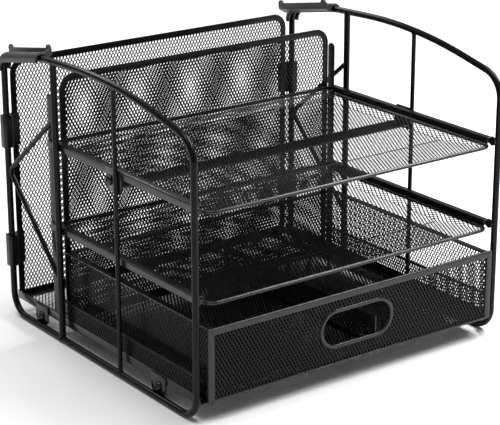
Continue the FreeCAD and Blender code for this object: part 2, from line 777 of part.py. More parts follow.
def tray_pan(tray):
    """The creased expanded-metal pan, a shallow tray of thin sheet."""
    body = new_body(f"{tray}_tray_pan", z=f"{tray}_tray_height - pan_sink")
    shell = []
    for name, lift in (("Outer", "0"), ("Inner", "mesh_thick")):
        corner = f"tray_corner - tray_sheet - {lift}"
        outlines = []
        for level, height, across, front, rear in (
                ("Floor", lift, f"tray_leg_reach - tray_sheet - side_crease_inset - {lift}",
                 f"-(front_crease_forward - {lift})", f"-(tray_rear_forward + rear_crease_inset + {lift})"),
                ("Edge", f"pan_sink - leg_depth + {lift}", f"tray_leg_reach - tray_sheet - {lift}",
                 f"-(tray_front_forward - lip_depth - {lift})", f"-(tray_rear_forward + tray_sheet + {lift})")):
            outline = new_sketch(body, name + level, "top", height)
            draw_outline(outline, [(minus(across), front, corner), (across, front, corner),
                                   (across, rear), (minus(across), rear)])
            outlines.append(outline)
        shell.append(outlines)
    solid = body.newObject("PartDesign::AdditiveLoft", "PanForm")
    solid.Profile = shell[0][0]
    solid.Sections = [(shell[0][1], [""])]
    solid.Ruled = True
    doc.recompute()
    hollow = body.newObject("PartDesign::SubtractiveLoft", "PanHollow")
    hollow.Profile = shell[1][0]
    hollow.Sections = [(shell[1][1], [""])]
    hollow.Ruled = True
    floor_reach = "tray_leg_reach - tray_sheet - side_crease_inset"
    cut_openings(body, "top", minus(floor_reach), "-front_crease_forward", f"2 * ({floor_reach})",
                 "front_crease_forward - tray_rear_forward - rear_crease_inset", TRAY_OPENING_ROWS)
    return body


def cross_bar():
    """The flat bar under the top tray, with a plate across each end."""
    body = new_body("tray_cross_bar", z="cross_bar_height")
    strip = new_sketch(body, "Strip", "top")
    draw_box(strip, minus("bar_inner"), "-(cross_bar_forward + cross_bar_width)",
             "bar_inner", "-cross_bar_forward")
    pad(body, strip, "cross_bar_thick")
    for name, side in SIDES:
        plate = new_sketch(body, "EndPlate", "side", mirrored(side, "bar_inner + bar_thick / 2"))
        draw_box(plate, "-(cross_bar_forward + cross_bar_width)", "0",
                 "-cross_bar_forward", "cross_tab_top - cross_bar_height")
        draw_circle(plate, "-cross_screw_forward", "cross_screw_height - cross_bar_height",
                    "screw_shank / 2 + fastener_gap")
        pad(body, plate, "bar_thick", both=True)
    return body


def cross_bar_lug(name, side):
    """The plate between the slim post and the cross bar."""
    body = new_body(f"{name}_cross_bar_lug", x=mirrored(side, "bar_outer + lug_thick / 2"))
    outline = new_sketch(body, "Lug", "side")
    front, rear = "-(lug_forward + lug_length)", "-lug_forward"
    high = "top_tray_height + tray_sheet"
    draw_outline(outline, [
        (front, "lug_low_height"),
        (f"{rear} - lug_chamfer", "lug_low_height"),
        (rear, "lug_low_height + lug_chamfer"),
        (rear, high),
        (front, high),
    ])
    draw_circle(outline, "-cross_screw_forward", "cross_screw_height", "screw_shank / 2 + fastener_gap")
    pad(body, outline, "lug_thick", both=True)
    return body


def screw_shape(grip):
    """A dome head on a plain shank along +X, with the head's seat at X = 0."""
    head = number("screw_head / 2")
    dome = number("screw_dome")
    shank = number("screw_shank / 2")
    ball = (head * head + dome * dome) / (2 * dome)
    side = math.sqrt(ball * ball - head * head / 4)
    top = Vector(dome, 0, 0)
    middle = Vector(dome - ball + side, head / 2, 0)
    rim = Vector(0, head, 0)
    edges = [
        Part.LineSegment(Vector(-grip, 0, 0), top).toShape(),
        Part.Arc(top, middle, rim).toShape(),
        Part.LineSegment(rim, Vector(0, shank, 0)).toShape(),
        Part.LineSegment(Vector(0, shank, 0), Vector(-grip, shank, 0)).toShape(),
        Part.LineSegment(Vector(-grip, shank, 0), Vector(-grip, 0, 0)).toShape(),
    ]
    return Part.Face(Part.Wire(edges)).revolve(Vector(), Vector(1, 0, 0), 360)


def nut_shape():
    """A hexagon nut along +X with a plain bore."""
    corner = number("nut_width / 2") / math.cos(math.pi / 6)
    thick = Vector(number("nut_thick"), 0, 0)
    spots = [Vector(0, corner * math.cos(turn * math.pi / 3), corner * math.sin(turn * math.pi / 3))
             for turn in range(7)]
    bore = Part.makeCylinder(number("screw_shank / 2 + fastener_gap"), thick.x, Vector(), Vector(1, 0, 0))
    return Part.Face(Part.makePolygon(spots)).extrude(thick).cut(bore)


def fastener_group(label, shape, places):
    """Identical fasteners in one sub-part, each a solid of its own."""
    group = doc.addObject("Part::Feature", label)
    solids = []
    for side, across, forward, height in places:
        spot = Vector(side * number(across), number("rear_rod_y") - number(forward), number(height))
        turn = Rotation() if side > 0 else Rotation(Vector(0, 0, 1), 180)
        copy = shape.copy()
        copy.Placement = Placement(spot, turn)
        solids.append(copy)
    group.Shape = Part.makeCompound(solids)
    group.Placement = Placement()
    return keep(group, label)


def base_frame():
    """The strip frame of the base: a flat ladder with an upstand along each side."""
    body = new_body("base_frame", z="base_height")
    front, rear = "-base_front_forward", "rear_panel_setback"
    ladder = new_sketch(body, "Ladder", "top")
    draw_box(ladder, "-bar_inner", front, "bar_inner", rear)
    inner = "bar_inner - strip_width"
    cross = "divider_forward - strip_thick / 2"
    draw_box(ladder, minus(inner), f"-({cross} - strip_width / 2)", inner, f"{rear} - strip_width")
    draw_box(ladder, minus(inner), f"{front} + strip_width", inner, f"-({cross} + strip_width / 2)")
    pad(body, ladder, "strip_thick")
    for name, side in SIDES:
        upstand = new_sketch(body, "Upstand", "side", mirrored(side, "bar_inner - strip_thick / 2"))
        draw_box(upstand, front, "0", rear, "strip_width")
        pad(body, upstand, "strip_thick", both=True)
    return body


def base_floor(label, front_words, rear_words):
    """An expanded-metal sheet that fills one bay of the base."""
    body = new_body(label, z="base_height + (strip_thick - mesh_thick) / 2")
    outline = new_sketch(body, "Sheet", "top")
    inner = "bar_inner - strip_width"
    draw_box(outline, minus(inner), front_words, inner, rear_words)
    pad(body, outline, "mesh_thick")
    return body


def base_wall(name, side):
    """The low expanded-metal wall along one side of the base."""
    body = new_body(f"{name}_base_wall", x=mirrored(side, "bar_inner - strip_thick / 2"))
    outline = new_sketch(body, "Sheet", "side")
    draw_box(outline, "-base_front_forward", "base_strip_top",
             minus("upright_forward + upright_width + seat_gap"),
             "ridge_height - ridge_wire / 2")
    pad(body, outline, "mesh_thick", both=True)
    return body


def base_ridge(name, side):
    """The thin wire along the top of a base wall, with a short pin out to the front rod."""
    body = new_body(f"{name}_base_ridge", x=mirrored(side, "bar_inner - strip_thick / 2"))
    wire = new_sketch(body, "Wire", "front", "upright_forward + upright_width + seat_gap")
    draw_circle(wire, "0", "ridge_height", "ridge_wire / 2")
    pad(body, wire, "frame_depth + ridge_overhang - upright_forward - upright_width - seat_gap")
    pin = new_sketch(body, "Pin", "side")
    draw_circle(pin, minus("frame_depth"), "ridge_height", "ridge_wire / 2")
    pad(body, pin, "bar_thick + strip_thick / 2", reverse=side < 0)
    return body


def base_tab(place, name, side):
    """The plate that joins the base strip to the bottom rod, with a hole for its screw."""
    body = new_body(f"{name}_{place}_base_tab", x=mirrored(side, "bar_inner + bar_thick / 2"))
    outline = new_sketch(body, "Tab", "side")
    middle = f"{place}_tab_forward"
    front, rear = f"-({middle} + tab_length / 2)", f"-({middle} - tab_length / 2)"
    draw_outline(outline, [
        (front, "tab_low_height", "tab_round"),
        (rear, "tab_low_height", "tab_round"),
        (rear, "tab_top_height"),
        (front, "tab_top_height"),
    ])
    draw_circle(outline, minus(middle), "tab_screw_height", "screw_shank / 2 + fastener_gap")
    pad(body, outline, "bar_thick", both=True)
    return body


def drawer_front_frame():
    """The folded strip frame of the drawer's front."""
    body = new_body("drawer_front_frame", y="rear_rod_y - drawer_front_rear")
    ring = new_sketch(body, "Ring", "front")
    half = "drawer_front_reach"
    draw_box(ring, minus(half), "drawer_low_height", half, "drawer_top_height", "drawer_corner")
    inner = f"{half} - drawer_front_strip"
    draw_box(ring, minus(inner), "drawer_low_height + drawer_front_strip", inner,
             "drawer_top_height - drawer_front_strip")
    pad(body, ring, "drawer_front_thick")
    return body


def drawer_front_mesh():
    """The expanded-metal sheet of the drawer's front, open at the finger slot."""
    body = new_body("drawer_front_mesh",
                    y="rear_rod_y - drawer_front_rear - (drawer_front_thick - mesh_thick) / 2")
    outline = new_sketch(body, "Sheet", "front")
    inner = "drawer_front_reach - drawer_front_strip"
    draw_box(outline, minus(inner), "drawer_low_height + drawer_front_strip", inner,
             "drawer_top_height - drawer_front_strip")
    draw_stadium(outline, "(slot_length + 2 * slot_trim)", "(slot_tall + 2 * slot_trim)",
                 "slot_centre_height")
    pad(body, outline, "mesh_thick")
    return body


def drawer_pull():
    """The rolled ring round the finger slot."""
    body = new_body("drawer_pull_ring", y="rear_rod_y - drawer_front_rear")
    ring = new_sketch(body, "Ring", "front")
    draw_stadium(ring, "(slot_length + 2 * slot_trim)", "(slot_tall + 2 * slot_trim)", "slot_centre_height")
    draw_stadium(ring, "slot_length", "slot_tall", "slot_centre_height")
    pad(body, ring, "drawer_front_thick - slot_trim_proud / 2")
    return body


def drawer_rim():
    """The flat strip round the top of the drawer's box, with two holes along each side."""
    body = new_body("drawer_top_rim", z="drawer_wall_top")
    outline = new_sketch(body, "Rim", "top")
    outer = "drawer_wall_reach + drawer_rim_width / 2"
    inner = "drawer_wall_reach - drawer_rim_width / 2"
    front = "-drawer_front_rear"
    rear = "-drawer_rear_forward"
    draw_outline(outline, [
        (minus(outer), front),
        (minus(inner), front),
        (minus(inner), f"{rear} - drawer_rim_width"),
        (inner, f"{rear} - drawer_rim_width"),
        (inner, front),
        (outer, front),
        (outer, rear),
        (minus(outer), rear),
    ])
    for name, side in SIDES:
        for spot in ("rear", "front"):
            draw_circle(outline, mirrored(side, "drawer_wall_reach"), f"-rim_hole_{spot}_forward",
                        "rim_hole / 2")
    pad(body, outline, "strip_thick")
    return body


def drawer_wall(name, side):
    """One expanded-metal side of the drawer."""
    body = new_body(f"drawer_{name}_wall", x=mirrored(side, "drawer_wall_reach"))
    outline = new_sketch(body, "Sheet", "side")
    draw_box(outline, "-drawer_front_rear", "drawer_floor_low + foot_strip",
             minus("drawer_rear_forward + strip_thick"), "drawer_wall_top")
    pad(body, outline, "mesh_thick", both=True)
    return body


def drawer_rear_wall():
    """The expanded-metal back of the drawer."""
    body = new_body("drawer_rear_wall", y="rear_rod_y - drawer_rear_forward")
    outline = new_sketch(body, "Sheet", "front")
    half = "drawer_wall_reach + mesh_thick / 2"
    draw_box(outline, minus(half), "drawer_floor_low + foot_strip", half, "drawer_wall_top")
    pad(body, outline, "mesh_thick")
    return body


def drawer_foot():
    """The strip that runs round the foot of the drawer and slides on the base."""
    body = new_body("drawer_foot_strip", z="drawer_floor_low")
    outline = new_sketch(body, "Foot", "top")
    outer = "drawer_wall_reach + strip_thick / 2"
    inner = "drawer_wall_reach - strip_thick / 2"
    draw_outline(outline, [
        (minus(outer), "-drawer_front_rear"),
        (minus(inner), "-drawer_front_rear"),
        (minus(inner), "-(drawer_rear_forward + strip_thick)"),
        (inner, "-(drawer_rear_forward + strip_thick)"),
        (inner, "-drawer_front_rear"),
        (outer, "-drawer_front_rear"),
        (outer, "-drawer_rear_forward"),
        (minus(outer), "-drawer_rear_forward"),
    ])
    pad(body, outline, "foot_strip")
    return body


def drawer_floor():
    """The expanded-metal floor between the foot strips."""
    body = new_body("drawer_floor", z="drawer_floor_low + drawer_floor_rise")
    outline = new_sketch(body, "Sheet", "top")
    inner = "drawer_wall_reach - strip_thick / 2"
    draw_box(outline, minus(inner), "-drawer_front_rear", inner, "-(drawer_rear_forward + strip_thick)")
    pad(body, outline, "mesh_thick")
    return body


def drawer_partition():
    """The low wall that splits the drawer, in its strip frame."""
    front, rear = "-drawer_front_rear", "-(drawer_rear_forward + strip_thick)"
    high = "partition_low + partition_tall"
    body = new_body("drawer_partition_frame", x="partition_offset")
    ring = new_sketch(body, "Ring", "side")
    draw_box(ring, front, "partition_low", rear, high)
    draw_box(ring, f"{front} + partition_strip", "partition_low + partition_strip",
             f"{rear} - partition_strip", f"{high} - partition_strip")
    pad(body, ring, "strip_thick", both=True)
    mesh = new_body("drawer_partition_mesh", x="partition_offset")
    outline = new_sketch(mesh, "Sheet", "side")
    draw_box(outline, f"{front} + partition_strip", "partition_low + partition_strip",
             f"{rear} - partition_strip", f"{high} - partition_strip")
    pad(mesh, outline, "mesh_thick", both=True)


def build_frames():
    for name, side in SIDES:
        frame = side_frame(name, side)
        frame_posts(name, side, frame)
        zigzag_brace(name, side)
        file_rail(name, side)
        upright(name, side)


def build_panels():
    rear_face = "-rear_panel_setback"
    panel("rear_panel_frame", rear_face, "rear_panel_reach", "base_height", "panel_top_height",
          "panel_corner")
    panel_mesh("rear_panel_mesh", rear_face, "rear_panel_reach", "base_height", "panel_top_height",
               "panel_corner")
    panel("divider_frame", "divider_forward", "divider_reach", "base_floor_top", "panel_top_height",
          "panel_corner")
    panel_mesh("divider_mesh", "divider_forward", "divider_reach", "base_floor_top", "panel_top_height",
               "panel_corner")
    for name, side in SIDES:
        for level in ("upper", "lower"):
            panel_clip(name, side, level)


def build_trays():
    for tray in ("top", "middle"):
        for name, side in SIDES:
            tray_bar(tray, name, side)
        tray_rim(tray)
        tray_pan(tray)
    cross_bar()
    for name, side in SIDES:
        cross_bar_lug(name, side)
    screws = [(side, "bar_outer + lug_thick", "cross_screw_forward", "cross_screw_height")
              for name, side in SIDES]
    grip = number("lug_thick + bar_thick + nut_thick")
    fastener_group("cross_bar_screws", screw_shape(grip), screws)
    nuts = [(side, "bar_inner - nut_thick", forward, height) for side, reach, forward, height in screws]
    fastener_group("cross_bar_nuts", nut_shape(), nuts)


def build_base():
    base_frame()
    cross = "divider_forward - strip_thick / 2"
    base_floor("file_bay_floor", f"-({cross} - strip_width / 2)", "rear_panel_setback - strip_width")
    base_floor("drawer_bay_floor", "-base_front_forward + strip_width", f"-({cross} + strip_width / 2)")
    for name, side in SIDES:
        base_wall(name, side)
        base_ridge(name, side)
        for place in ("rear", "front"):
            base_tab(place, name, side)
    screws = [(side, "bar_outer", f"{place}_tab_forward", "tab_screw_height")
              for name, side in SIDES for place in ("rear", "front")]
    fastener_group("base_tab_screws", screw_shape(number("bar_thick")), screws)


def build_drawer():
    drawer_front_frame()
    drawer_front_mesh()
    drawer_pull()
    drawer_rim()
    for name, side in SIDES:
        drawer_wall(name, side)
    drawer_rear_wall()
    drawer_foot()
    drawer_floor()
    drawer_partition()


def write_parts():
    """Checks every object, then writes each sub-part to its file."""
    for item in doc.Objects:
        if "Invalid" in item.State or "Error" in item.State:
            raise RuntimeError(f"{item.Label} ({item.Name}) is {item.State}")
    for piece in pieces:
        if piece.Shape.isNull() or not piece.Shape.isValid() or not piece.Shape.Solids:
            raise RuntimeError(f"{piece.Label} has no valid solid")
    os.makedirs("parts", exist_ok=True)
    for piece in pieces:
        piece.Shape.exportStep(f"parts/{piece.Label}.step")
        print(f"{piece.Label}: {len(piece.Shape.Solids)} solid(s), {piece.Shape.Volume:.1f} mm3")
    print(f"{len(pieces)} sub-parts")


fill_sheet()
build_frames()
build_panels()
build_trays()
build_base()
build_drawer()
doc.recompute()
write_parts()
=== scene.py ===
"""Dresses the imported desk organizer: a hanging-file bay, two letter trays and a drawer.

The organizer is bent steel rod and expanded metal with a satin black coat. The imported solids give
every place; this script cuts the diamond holes, softens the edges, adds weld fillets, screw
sockets and rolled trims, gives every piece its finish, and sets up floor, light and camera.
"""

import json
import logging
import math
from collections.abc import Callable, Sequence
from dataclasses import dataclass, field
from enum import Enum

import bmesh
import bpy
import numpy as np
from mathutils import Matrix, Vector

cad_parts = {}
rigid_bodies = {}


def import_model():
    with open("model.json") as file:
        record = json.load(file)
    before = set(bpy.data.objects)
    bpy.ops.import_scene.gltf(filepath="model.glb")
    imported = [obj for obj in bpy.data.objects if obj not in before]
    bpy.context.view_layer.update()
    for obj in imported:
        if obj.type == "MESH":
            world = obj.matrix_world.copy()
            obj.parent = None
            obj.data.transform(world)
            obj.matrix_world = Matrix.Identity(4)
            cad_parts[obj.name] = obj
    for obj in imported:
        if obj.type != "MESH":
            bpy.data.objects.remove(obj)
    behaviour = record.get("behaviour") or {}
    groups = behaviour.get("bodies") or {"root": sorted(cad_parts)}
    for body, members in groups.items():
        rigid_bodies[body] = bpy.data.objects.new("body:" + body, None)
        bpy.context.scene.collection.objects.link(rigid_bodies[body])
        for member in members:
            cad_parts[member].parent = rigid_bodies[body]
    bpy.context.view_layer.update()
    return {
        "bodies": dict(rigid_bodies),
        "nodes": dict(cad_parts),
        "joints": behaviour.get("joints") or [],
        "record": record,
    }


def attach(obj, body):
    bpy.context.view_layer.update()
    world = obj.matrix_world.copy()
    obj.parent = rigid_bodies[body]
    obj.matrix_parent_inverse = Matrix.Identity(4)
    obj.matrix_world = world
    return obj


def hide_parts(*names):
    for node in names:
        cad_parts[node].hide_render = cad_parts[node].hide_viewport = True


log = logging.getLogger("sorter")

# Two or three numbers, such as a point in a plane or in space, and an object with a mesh.
Pair = tuple[float, float]
Triple = tuple[float, float, float]
Piece = bpy.types.Object

MM = 0.001
FRAME_BODY = "frame"
DRAWER_BODY = "drawer"
SIDES = (("left", -1), ("right", 1))

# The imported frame's own lengths, in millimetres: the middle of the rear rods, measured from the
# origin towards the back, and the outer face of the trays' and the base's side strips.
REAR_ROD_Y = 149.75
STRIP_FACE = 160.0

# Directions in the frame: to the right, to the back, up.
RIGHT, BACK, UP = (1, 0, 0), (0, 1, 0), (0, 0, 1)

# Points nearer than this many millimetres are one point; faces that meet at less than the flat
# turn are one face, and edges that turn by more than the sharp turn are rounded over. Both turns
# are in degrees.
WELD = 0.002
FLAT_TURN = 1.0
SHARP_TURN = 30.0

# Keeps a division from meeting nought.
TINY = 1e-9


class Slot(Enum):
    """The record's material slots, one named by each finish."""

    ROD = "coated_steel_rod"
    STRIP = "coated_steel_strip"
    MESH = "coated_expanded_mesh"
    NYLON = "moulded_black_nylon"
    SCREW = "blackened_screw_steel"


# ---------------------------------------------------------------- finishes


def linear(code: str) -> tuple[float, float, float, float]:
    """Turns an sRGB hex colour to linear light.

    Args:
        code: The colour as "#rrggbb".

    Returns:
        Red, green, blue and an alpha of 1.
    """
    parts = [int(code[start : start + 2], 16) / 255 for start in (1, 3, 5)]
    light = [part / 12.92 if part <= 0.04045 else ((part + 0.055) / 1.055) ** 2.4 for part in parts]
    return light[0], light[1], light[2], 1.0


def add_node(
    tree: bpy.types.NodeTree,
    kind: str,
    settings: dict[str, object] | None = None,
    sockets: dict[str | int, object] | None = None,
) -> bpy.types.Node:
    """Adds a node with its settings and links.

    Args:
        tree: The node tree to add to.
        kind: The node's type without its ShaderNode prefix.
        settings: The node's own properties.
        sockets: For each input, a constant or the output that feeds it.

    Returns:
        The new node.
    """
    node = tree.nodes.new("ShaderNode" + kind)
    for name, value in (settings or {}).items():
        setattr(node, name, value)
    for name, value in (sockets or {}).items():
        if isinstance(value, bpy.types.NodeSocket):
            tree.links.new(value, node.inputs[name])
        else:
            node.inputs[name].default_value = value
    return node


@dataclass(frozen=True)
class BlackFinish:
    """A dark surface with fine relief: what the coat, the nylon and the screws share.

    The colour drifts a little between two tones, the roughness drifts with it, and a fine grain
    lifts the surface. A low index keeps the thin black coats deep beside a white floor.
    """

    name: str
    slot: Slot
    deep: str
    pale: str
    roughness: Pair
    ior: float
    grain_mm: float
    grain_lift_mm: float
    drift_mm: float

    def make(self) -> bpy.types.Material:
        """Builds the material.

        Returns:
            The material.
        """
        material = bpy.data.materials.new(self.name)
        material.use_nodes = True
        tree = material.node_tree
        tree.nodes.clear()
        place = add_node(tree, "TexCoord").outputs["Object"]

        def noise(size_mm: float, detail: float, roughness: float) -> bpy.types.NodeSocket:
            """Adds a noise.

            Args:
                size_mm: The size of its spots, in millimetres.
                detail: How many finer layers it has.
                roughness: How strong the finer layers are.

            Returns:
                The output with its value.
            """
            scale = 1 / (size_mm * MM)
            sockets = {"Vector": place, "Scale": scale, "Detail": detail, "Roughness": roughness}
            return add_node(tree, "TexNoise", sockets=sockets).outputs["Fac"]

        drift, grain = noise(self.drift_mm, 3.0, 0.6), noise(self.grain_mm, 2.0, 0.5)
        tones = {"Factor": drift, 6: linear(self.deep), 7: linear(self.pale)}
        tone = add_node(tree, "Mix", {"data_type": "RGBA"}, tones)
        low, high = self.roughness
        spread = {"Value": drift, "From Min": 0.3, "From Max": 0.7, "To Min": low, "To Max": high}
        rough = add_node(tree, "MapRange", sockets=spread)
        lift = {"Strength": 0.6, "Distance": self.grain_lift_mm * MM, "Height": grain}
        relief = add_node(tree, "Bump", sockets=lift)
        shader = add_node(
            tree,
            "BsdfPrincipled",
            sockets={
                "Base Color": tone.outputs[2],
                "Roughness": rough.outputs["Result"],
                "Normal": relief.outputs["Normal"],
                "IOR": self.ior,
            },
        )
        add_node(tree, "OutputMaterial", sockets={"Surface": shader.outputs["BSDF"]})
        return material


# Polyester powder baked on mild steel rod. It gives the eye a soft satin black with long grey
# highlights; the orange peel of such coats is about 1 mm.
ROD_COAT = BlackFinish(
    name="polyester_powder_coat_rod",
    slot=Slot.ROD,
    deep="#060607",
    pale="#0c0c0d",
    roughness=(0.22, 0.28),
    ior=1.26,
    grain_mm=1.0,
    grain_lift_mm=0.015,
    drift_mm=25.0,
)

# The same coat on formed sheet and flat strip that faces the light. Its tones are painted lighter
# than on the rods, as painted light on these light-facing strips. Its smooth rolled edges draw thin
# bright lines along the lips of trays and drawer.
STRIP_COAT_PAINTED_LIGHTER = BlackFinish(
    name="polyester_powder_coat_strip_painted_lighter",
    slot=Slot.STRIP,
    # Tones lighter than the rods' though the coat is the same: painted light for the strips that
    # face the lamps.
    deep="#161617",
    pale="#1f1f20",
    roughness=(0.2, 0.26),
    ior=1.45,
    grain_mm=1.2,
    grain_lift_mm=0.02,
    drift_mm=30.0,
)

# The coat on the strips round the panels, as deep as on the rods.
PANEL_COAT = BlackFinish(
    name="polyester_powder_coat_panel",
    slot=Slot.STRIP,
    deep="#08080a",
    pale="#0f0f10",
    roughness=(0.24, 0.3),
    ior=1.28,
    grain_mm=1.2,
    grain_lift_mm=0.02,
    drift_mm=30.0,
)

# The coat on expanded sheet. Its strands are narrow, so the film is thin and glossier, which
# gives the sparkle where a strand catches the light.
MESH_COAT = BlackFinish(
    name="polyester_powder_coat_mesh",
    slot=Slot.MESH,
    deep="#050506",
    pale="#0a0a0b",
    roughness=(0.2, 0.26),
    ior=1.26,
    grain_mm=1.5,
    grain_lift_mm=0.015,
    drift_mm=20.0,
)

# Glass-filled nylon moulded in an etched tool: a matte, slightly grey black with a fine grain
# (0.3 mm in the tool, drawn at 0.8 mm so that it shows).
RAIL_NYLON = BlackFinish(
    name="moulded_nylon_etched",
    slot=Slot.NYLON,
    deep="#2b2b2d",
    pale="#363638",
    roughness=(0.4, 0.5),
    ior=1.53,
    grain_mm=0.8,
    grain_lift_mm=0.04,
    drift_mm=18.0,
)

# Glossier nylon of the small clips, which reads nearly as dark as the rods beside it.
CLIP_NYLON = BlackFinish(
    name="moulded_nylon_polished",
    slot=Slot.NYLON,
    deep="#0b0b0c",
    pale="#131314",
    roughness=(0.26, 0.34),
    ior=1.4,
    grain_mm=0.8,
    grain_lift_mm=0.02,
    drift_mm=12.0,
)

# Black oxide on machined screw steel: dark, smooth and glossy, so that the dome holds one
# bright spot.
SCREW_OXIDE = BlackFinish(
    name="black_oxide_screw_steel",
    slot=Slot.SCREW,
    deep="#060607",
    pale="#0c0c0d",
    roughness=(0.12, 0.18),
    ior=1.5,
    grain_mm=0.6,
    grain_lift_mm=0.01,
    drift_mm=4.0,
)


# ---------------------------------------------------------------- shapes


def link_mesh(name: str, vertices: np.ndarray, faces: Sequence[Sequence[int]]) -> Piece:
    """Makes an object from points in millimetres.

    Args:
        name: The object's name.
        vertices: Points, one row each, in millimetres.
        faces: Corner numbers of each face.

    Returns:
        The object, linked to the scene.
    """
    mesh = bpy.data.meshes.new(name)
    mesh.from_pydata((np.asarray(vertices, float) * MM).tolist(), [], faces)
    mesh.update()
    piece = bpy.data.objects.new(name, mesh)
    bpy.context.scene.collection.objects.link(piece)
    return piece


def rework(piece: Piece, change: Callable[[bmesh.types.BMesh], object]) -> None:
    """Changes a piece's mesh, then turns all its faces outwards.

    Args:
        piece: The mesh object.
        change: Works on the editable mesh.
    """
    work = bmesh.new()
    work.from_mesh(piece.data)
    change(work)
    bmesh.ops.recalc_face_normals(work, faces=work.faces)
    work.to_mesh(piece.data)
    work.free()


def round_edges(
    work: bmesh.types.BMesh, edges: list[bmesh.types.BMEdge], reach: float, steps: int
) -> None:
    """Rounds edges over.

    Args:
        work: The editable mesh.
        edges: The edges to round.
        reach: How far the rounding reaches from each edge, in millimetres.
        steps: How many facets make a rounding.
    """
    bmesh.ops.bevel(
        work,
        geom=edges,
        offset=reach * MM,
        offset_type="OFFSET",
        segments=steps,
        profile=0.5,
        affect="EDGES",
        clamp_overlap=True,
    )


def ring_faces(
    rings: int, count: int, closed: bool = False, capped: bool = True
) -> list[list[int]]:
    """Joins rings of points to a skin of faces.

    Args:
        rings: How many rings of points there are.
        count: How many points each ring has.
        closed: Whether the last ring meets the first.
        capped: Whether an open skin gets a face at each end.

    Returns:
        The corner numbers of each face.
    """
    faces = []
    for row in range(rings if closed else rings - 1):
        here, there = row * count, (row + 1) % rings * count
        for part in range(count):
            after = (part + 1) % count
            faces.append([here + part, here + after, there + after, there + part])
    if capped and not closed:
        faces += [list(range(count)), list(range((rings - 1) * count, rings * count))]
    return faces


def shade(piece: Piece, angle: float | None) -> None:
    """Shades a piece smooth below an angle, or flat.

    Args:
        piece: The mesh object.
        angle: Edges sharper than this many degrees stay sharp; None shades all flat.
    """
    for face in piece.data.polygons:
        face.use_smooth = angle is not None
    if angle is not None:
        piece.data.set_sharp_from_angle(angle=math.radians(angle))


def round_corners(corners: Sequence[Triple], closed: bool, step: float = 6.0) -> list[Pair]:
    """Walks along an outline whose corners are rounded.

    Args:
        corners: Each corner as (across, up, radius).
        closed: Whether the outline returns to its start.
        step: The turn between two points of a bend, in degrees.

    Returns:
        The points of the outline.
    """
    spots = [Vector((corner[0], corner[1])) for corner in corners]
    count = len(spots)
    walk = []
    for row, spot in enumerate(spots):
        radius = corners[row][2]
        if radius <= 0 or (not closed and row in (0, count - 1)):
            walk.append((spot.x, spot.y))
            continue
        arrive = (spot - spots[row - 1]).normalized()
        leave = (spots[(row + 1) % count] - spot).normalized()
        turn = math.atan2(arrive.x * leave.y - arrive.y * leave.x, arrive.dot(leave))
        run = radius * math.tan(abs(turn) / 2)
        start = spot - arrive * run
        side = Vector((-arrive.y, arrive.x)) * math.copysign(radius, turn)
        centre = start + side
        pieces = max(2, math.ceil(abs(math.degrees(turn)) / step))
        for part in range(pieces + 1):
            angle = turn * part / pieces
            arm = start - centre
            walk.append(
                (
                    centre.x + arm.x * math.cos(angle) - arm.y * math.sin(angle),
                    centre.y + arm.x * math.sin(angle) + arm.y * math.cos(angle),
                )
            )
    return walk


def round_box(
    left: float, low: float, right: float, high: float, radii: Sequence[float], step: float = 6.0
) -> list[Pair]:
    """Walks round a rectangle with rounded corners.

    Args:
        left: Its left side.
        low: Its lower side.
        right: Its right side.
        high: Its upper side.
        radii: The radius of each corner, from the lower left one to the right and up.
        step: The turn between two points of a bend, in degrees.

    Returns:
        The points of the outline.
    """
    spots = ((left, low), (right, low), (right, high), (left, high))
    corners = [(across, up, radius) for (across, up), radius in zip(spots, radii)]
    return round_corners(corners, closed=True, step=step)


@dataclass(frozen=True)
class Place:
    """A flat working plane in the organizer's frame, in millimetres."""

    origin: Triple
    across: Triple
    up: Triple

    @property
    def out(self) -> np.ndarray:
        """The direction that faces out of the plane."""
        return np.cross(self.across, self.up)

    def put(self, points: np.ndarray) -> np.ndarray:
        """Moves points (across, up, out) into the frame."""
        base = np.array([self.across, self.up, self.out])
        return np.asarray(self.origin) + points @ base

    def build(self, name: str, vertices: Sequence[Triple], faces: list[list[int]]) -> Piece:
        """Makes a piece from points given in this plane.

        Args:
            name: The object's name.
            vertices: Points (across, up, out), in millimetres.
            faces: Corner numbers of each face.

        Returns:
            The object, its faces turned outwards.
        """
        piece = link_mesh(name, self.put(np.array(vertices, float)), faces)
        rework(piece, lambda work: None)
        return piece


def sweep(
    name: str, place: Place, walk: Sequence[Pair], profile: Sequence[Pair], closed: bool
) -> Piece:
    """Runs a closed profile along a flat outline with mitred bends.

    Args:
        name: The object's name.
        place: The plane of the outline.
        walk: The outline's points.
        profile: The profile's points as (to the left of the walk, out of the plane).
        closed: Whether the outline returns to its start.

    Returns:
        The object.
    """
    spots = np.asarray(walk, float)
    count = len(spots)
    vertices = []
    for row in range(count):
        arrive = spots[row] - spots[row - 1]
        leave = spots[(row + 1) % count] - spots[row]
        if not closed and row == 0:
            arrive = leave
        if not closed and row == count - 1:
            leave = arrive
        normals = [np.array([-way[1], way[0]]) / np.linalg.norm(way) for way in (arrive, leave)]
        mitre = (normals[0] + normals[1]) / (1 + normals[0] @ normals[1])
        for left, out in profile:
            across, up = spots[row] + left * mitre
            vertices.append((across, up, out))
    return place.build(name, vertices, ring_faces(count, len(profile), closed))


def lathe(
    name: str, place: Place, profile: Sequence[Pair], segments: int, hexes: Sequence[int]
) -> Piece:
    """Turns a profile round the plane's outward axis.

    Args:
        name: The object's name.
        place: The plane that the axis stands on.
        profile: Points (radius, height), from one end of the axis to the other.
        segments: How many steps make a turn.
        hexes: Rows of the profile that are hexagons, whose radius is to the flat.

    Returns:
        The object.
    """
    vertices = []
    for row, (radius, height) in enumerate(profile):
        for step in range(segments):
            turn = 2 * math.pi * step / segments
            reach = radius
            if row in hexes:
                reach = radius / math.cos((turn + math.pi / 6) % (math.pi / 3) - math.pi / 6)
            vertices.append((reach * math.cos(turn), reach * math.sin(turn), height))
    return place.build(name, vertices, ring_faces(len(profile), segments))


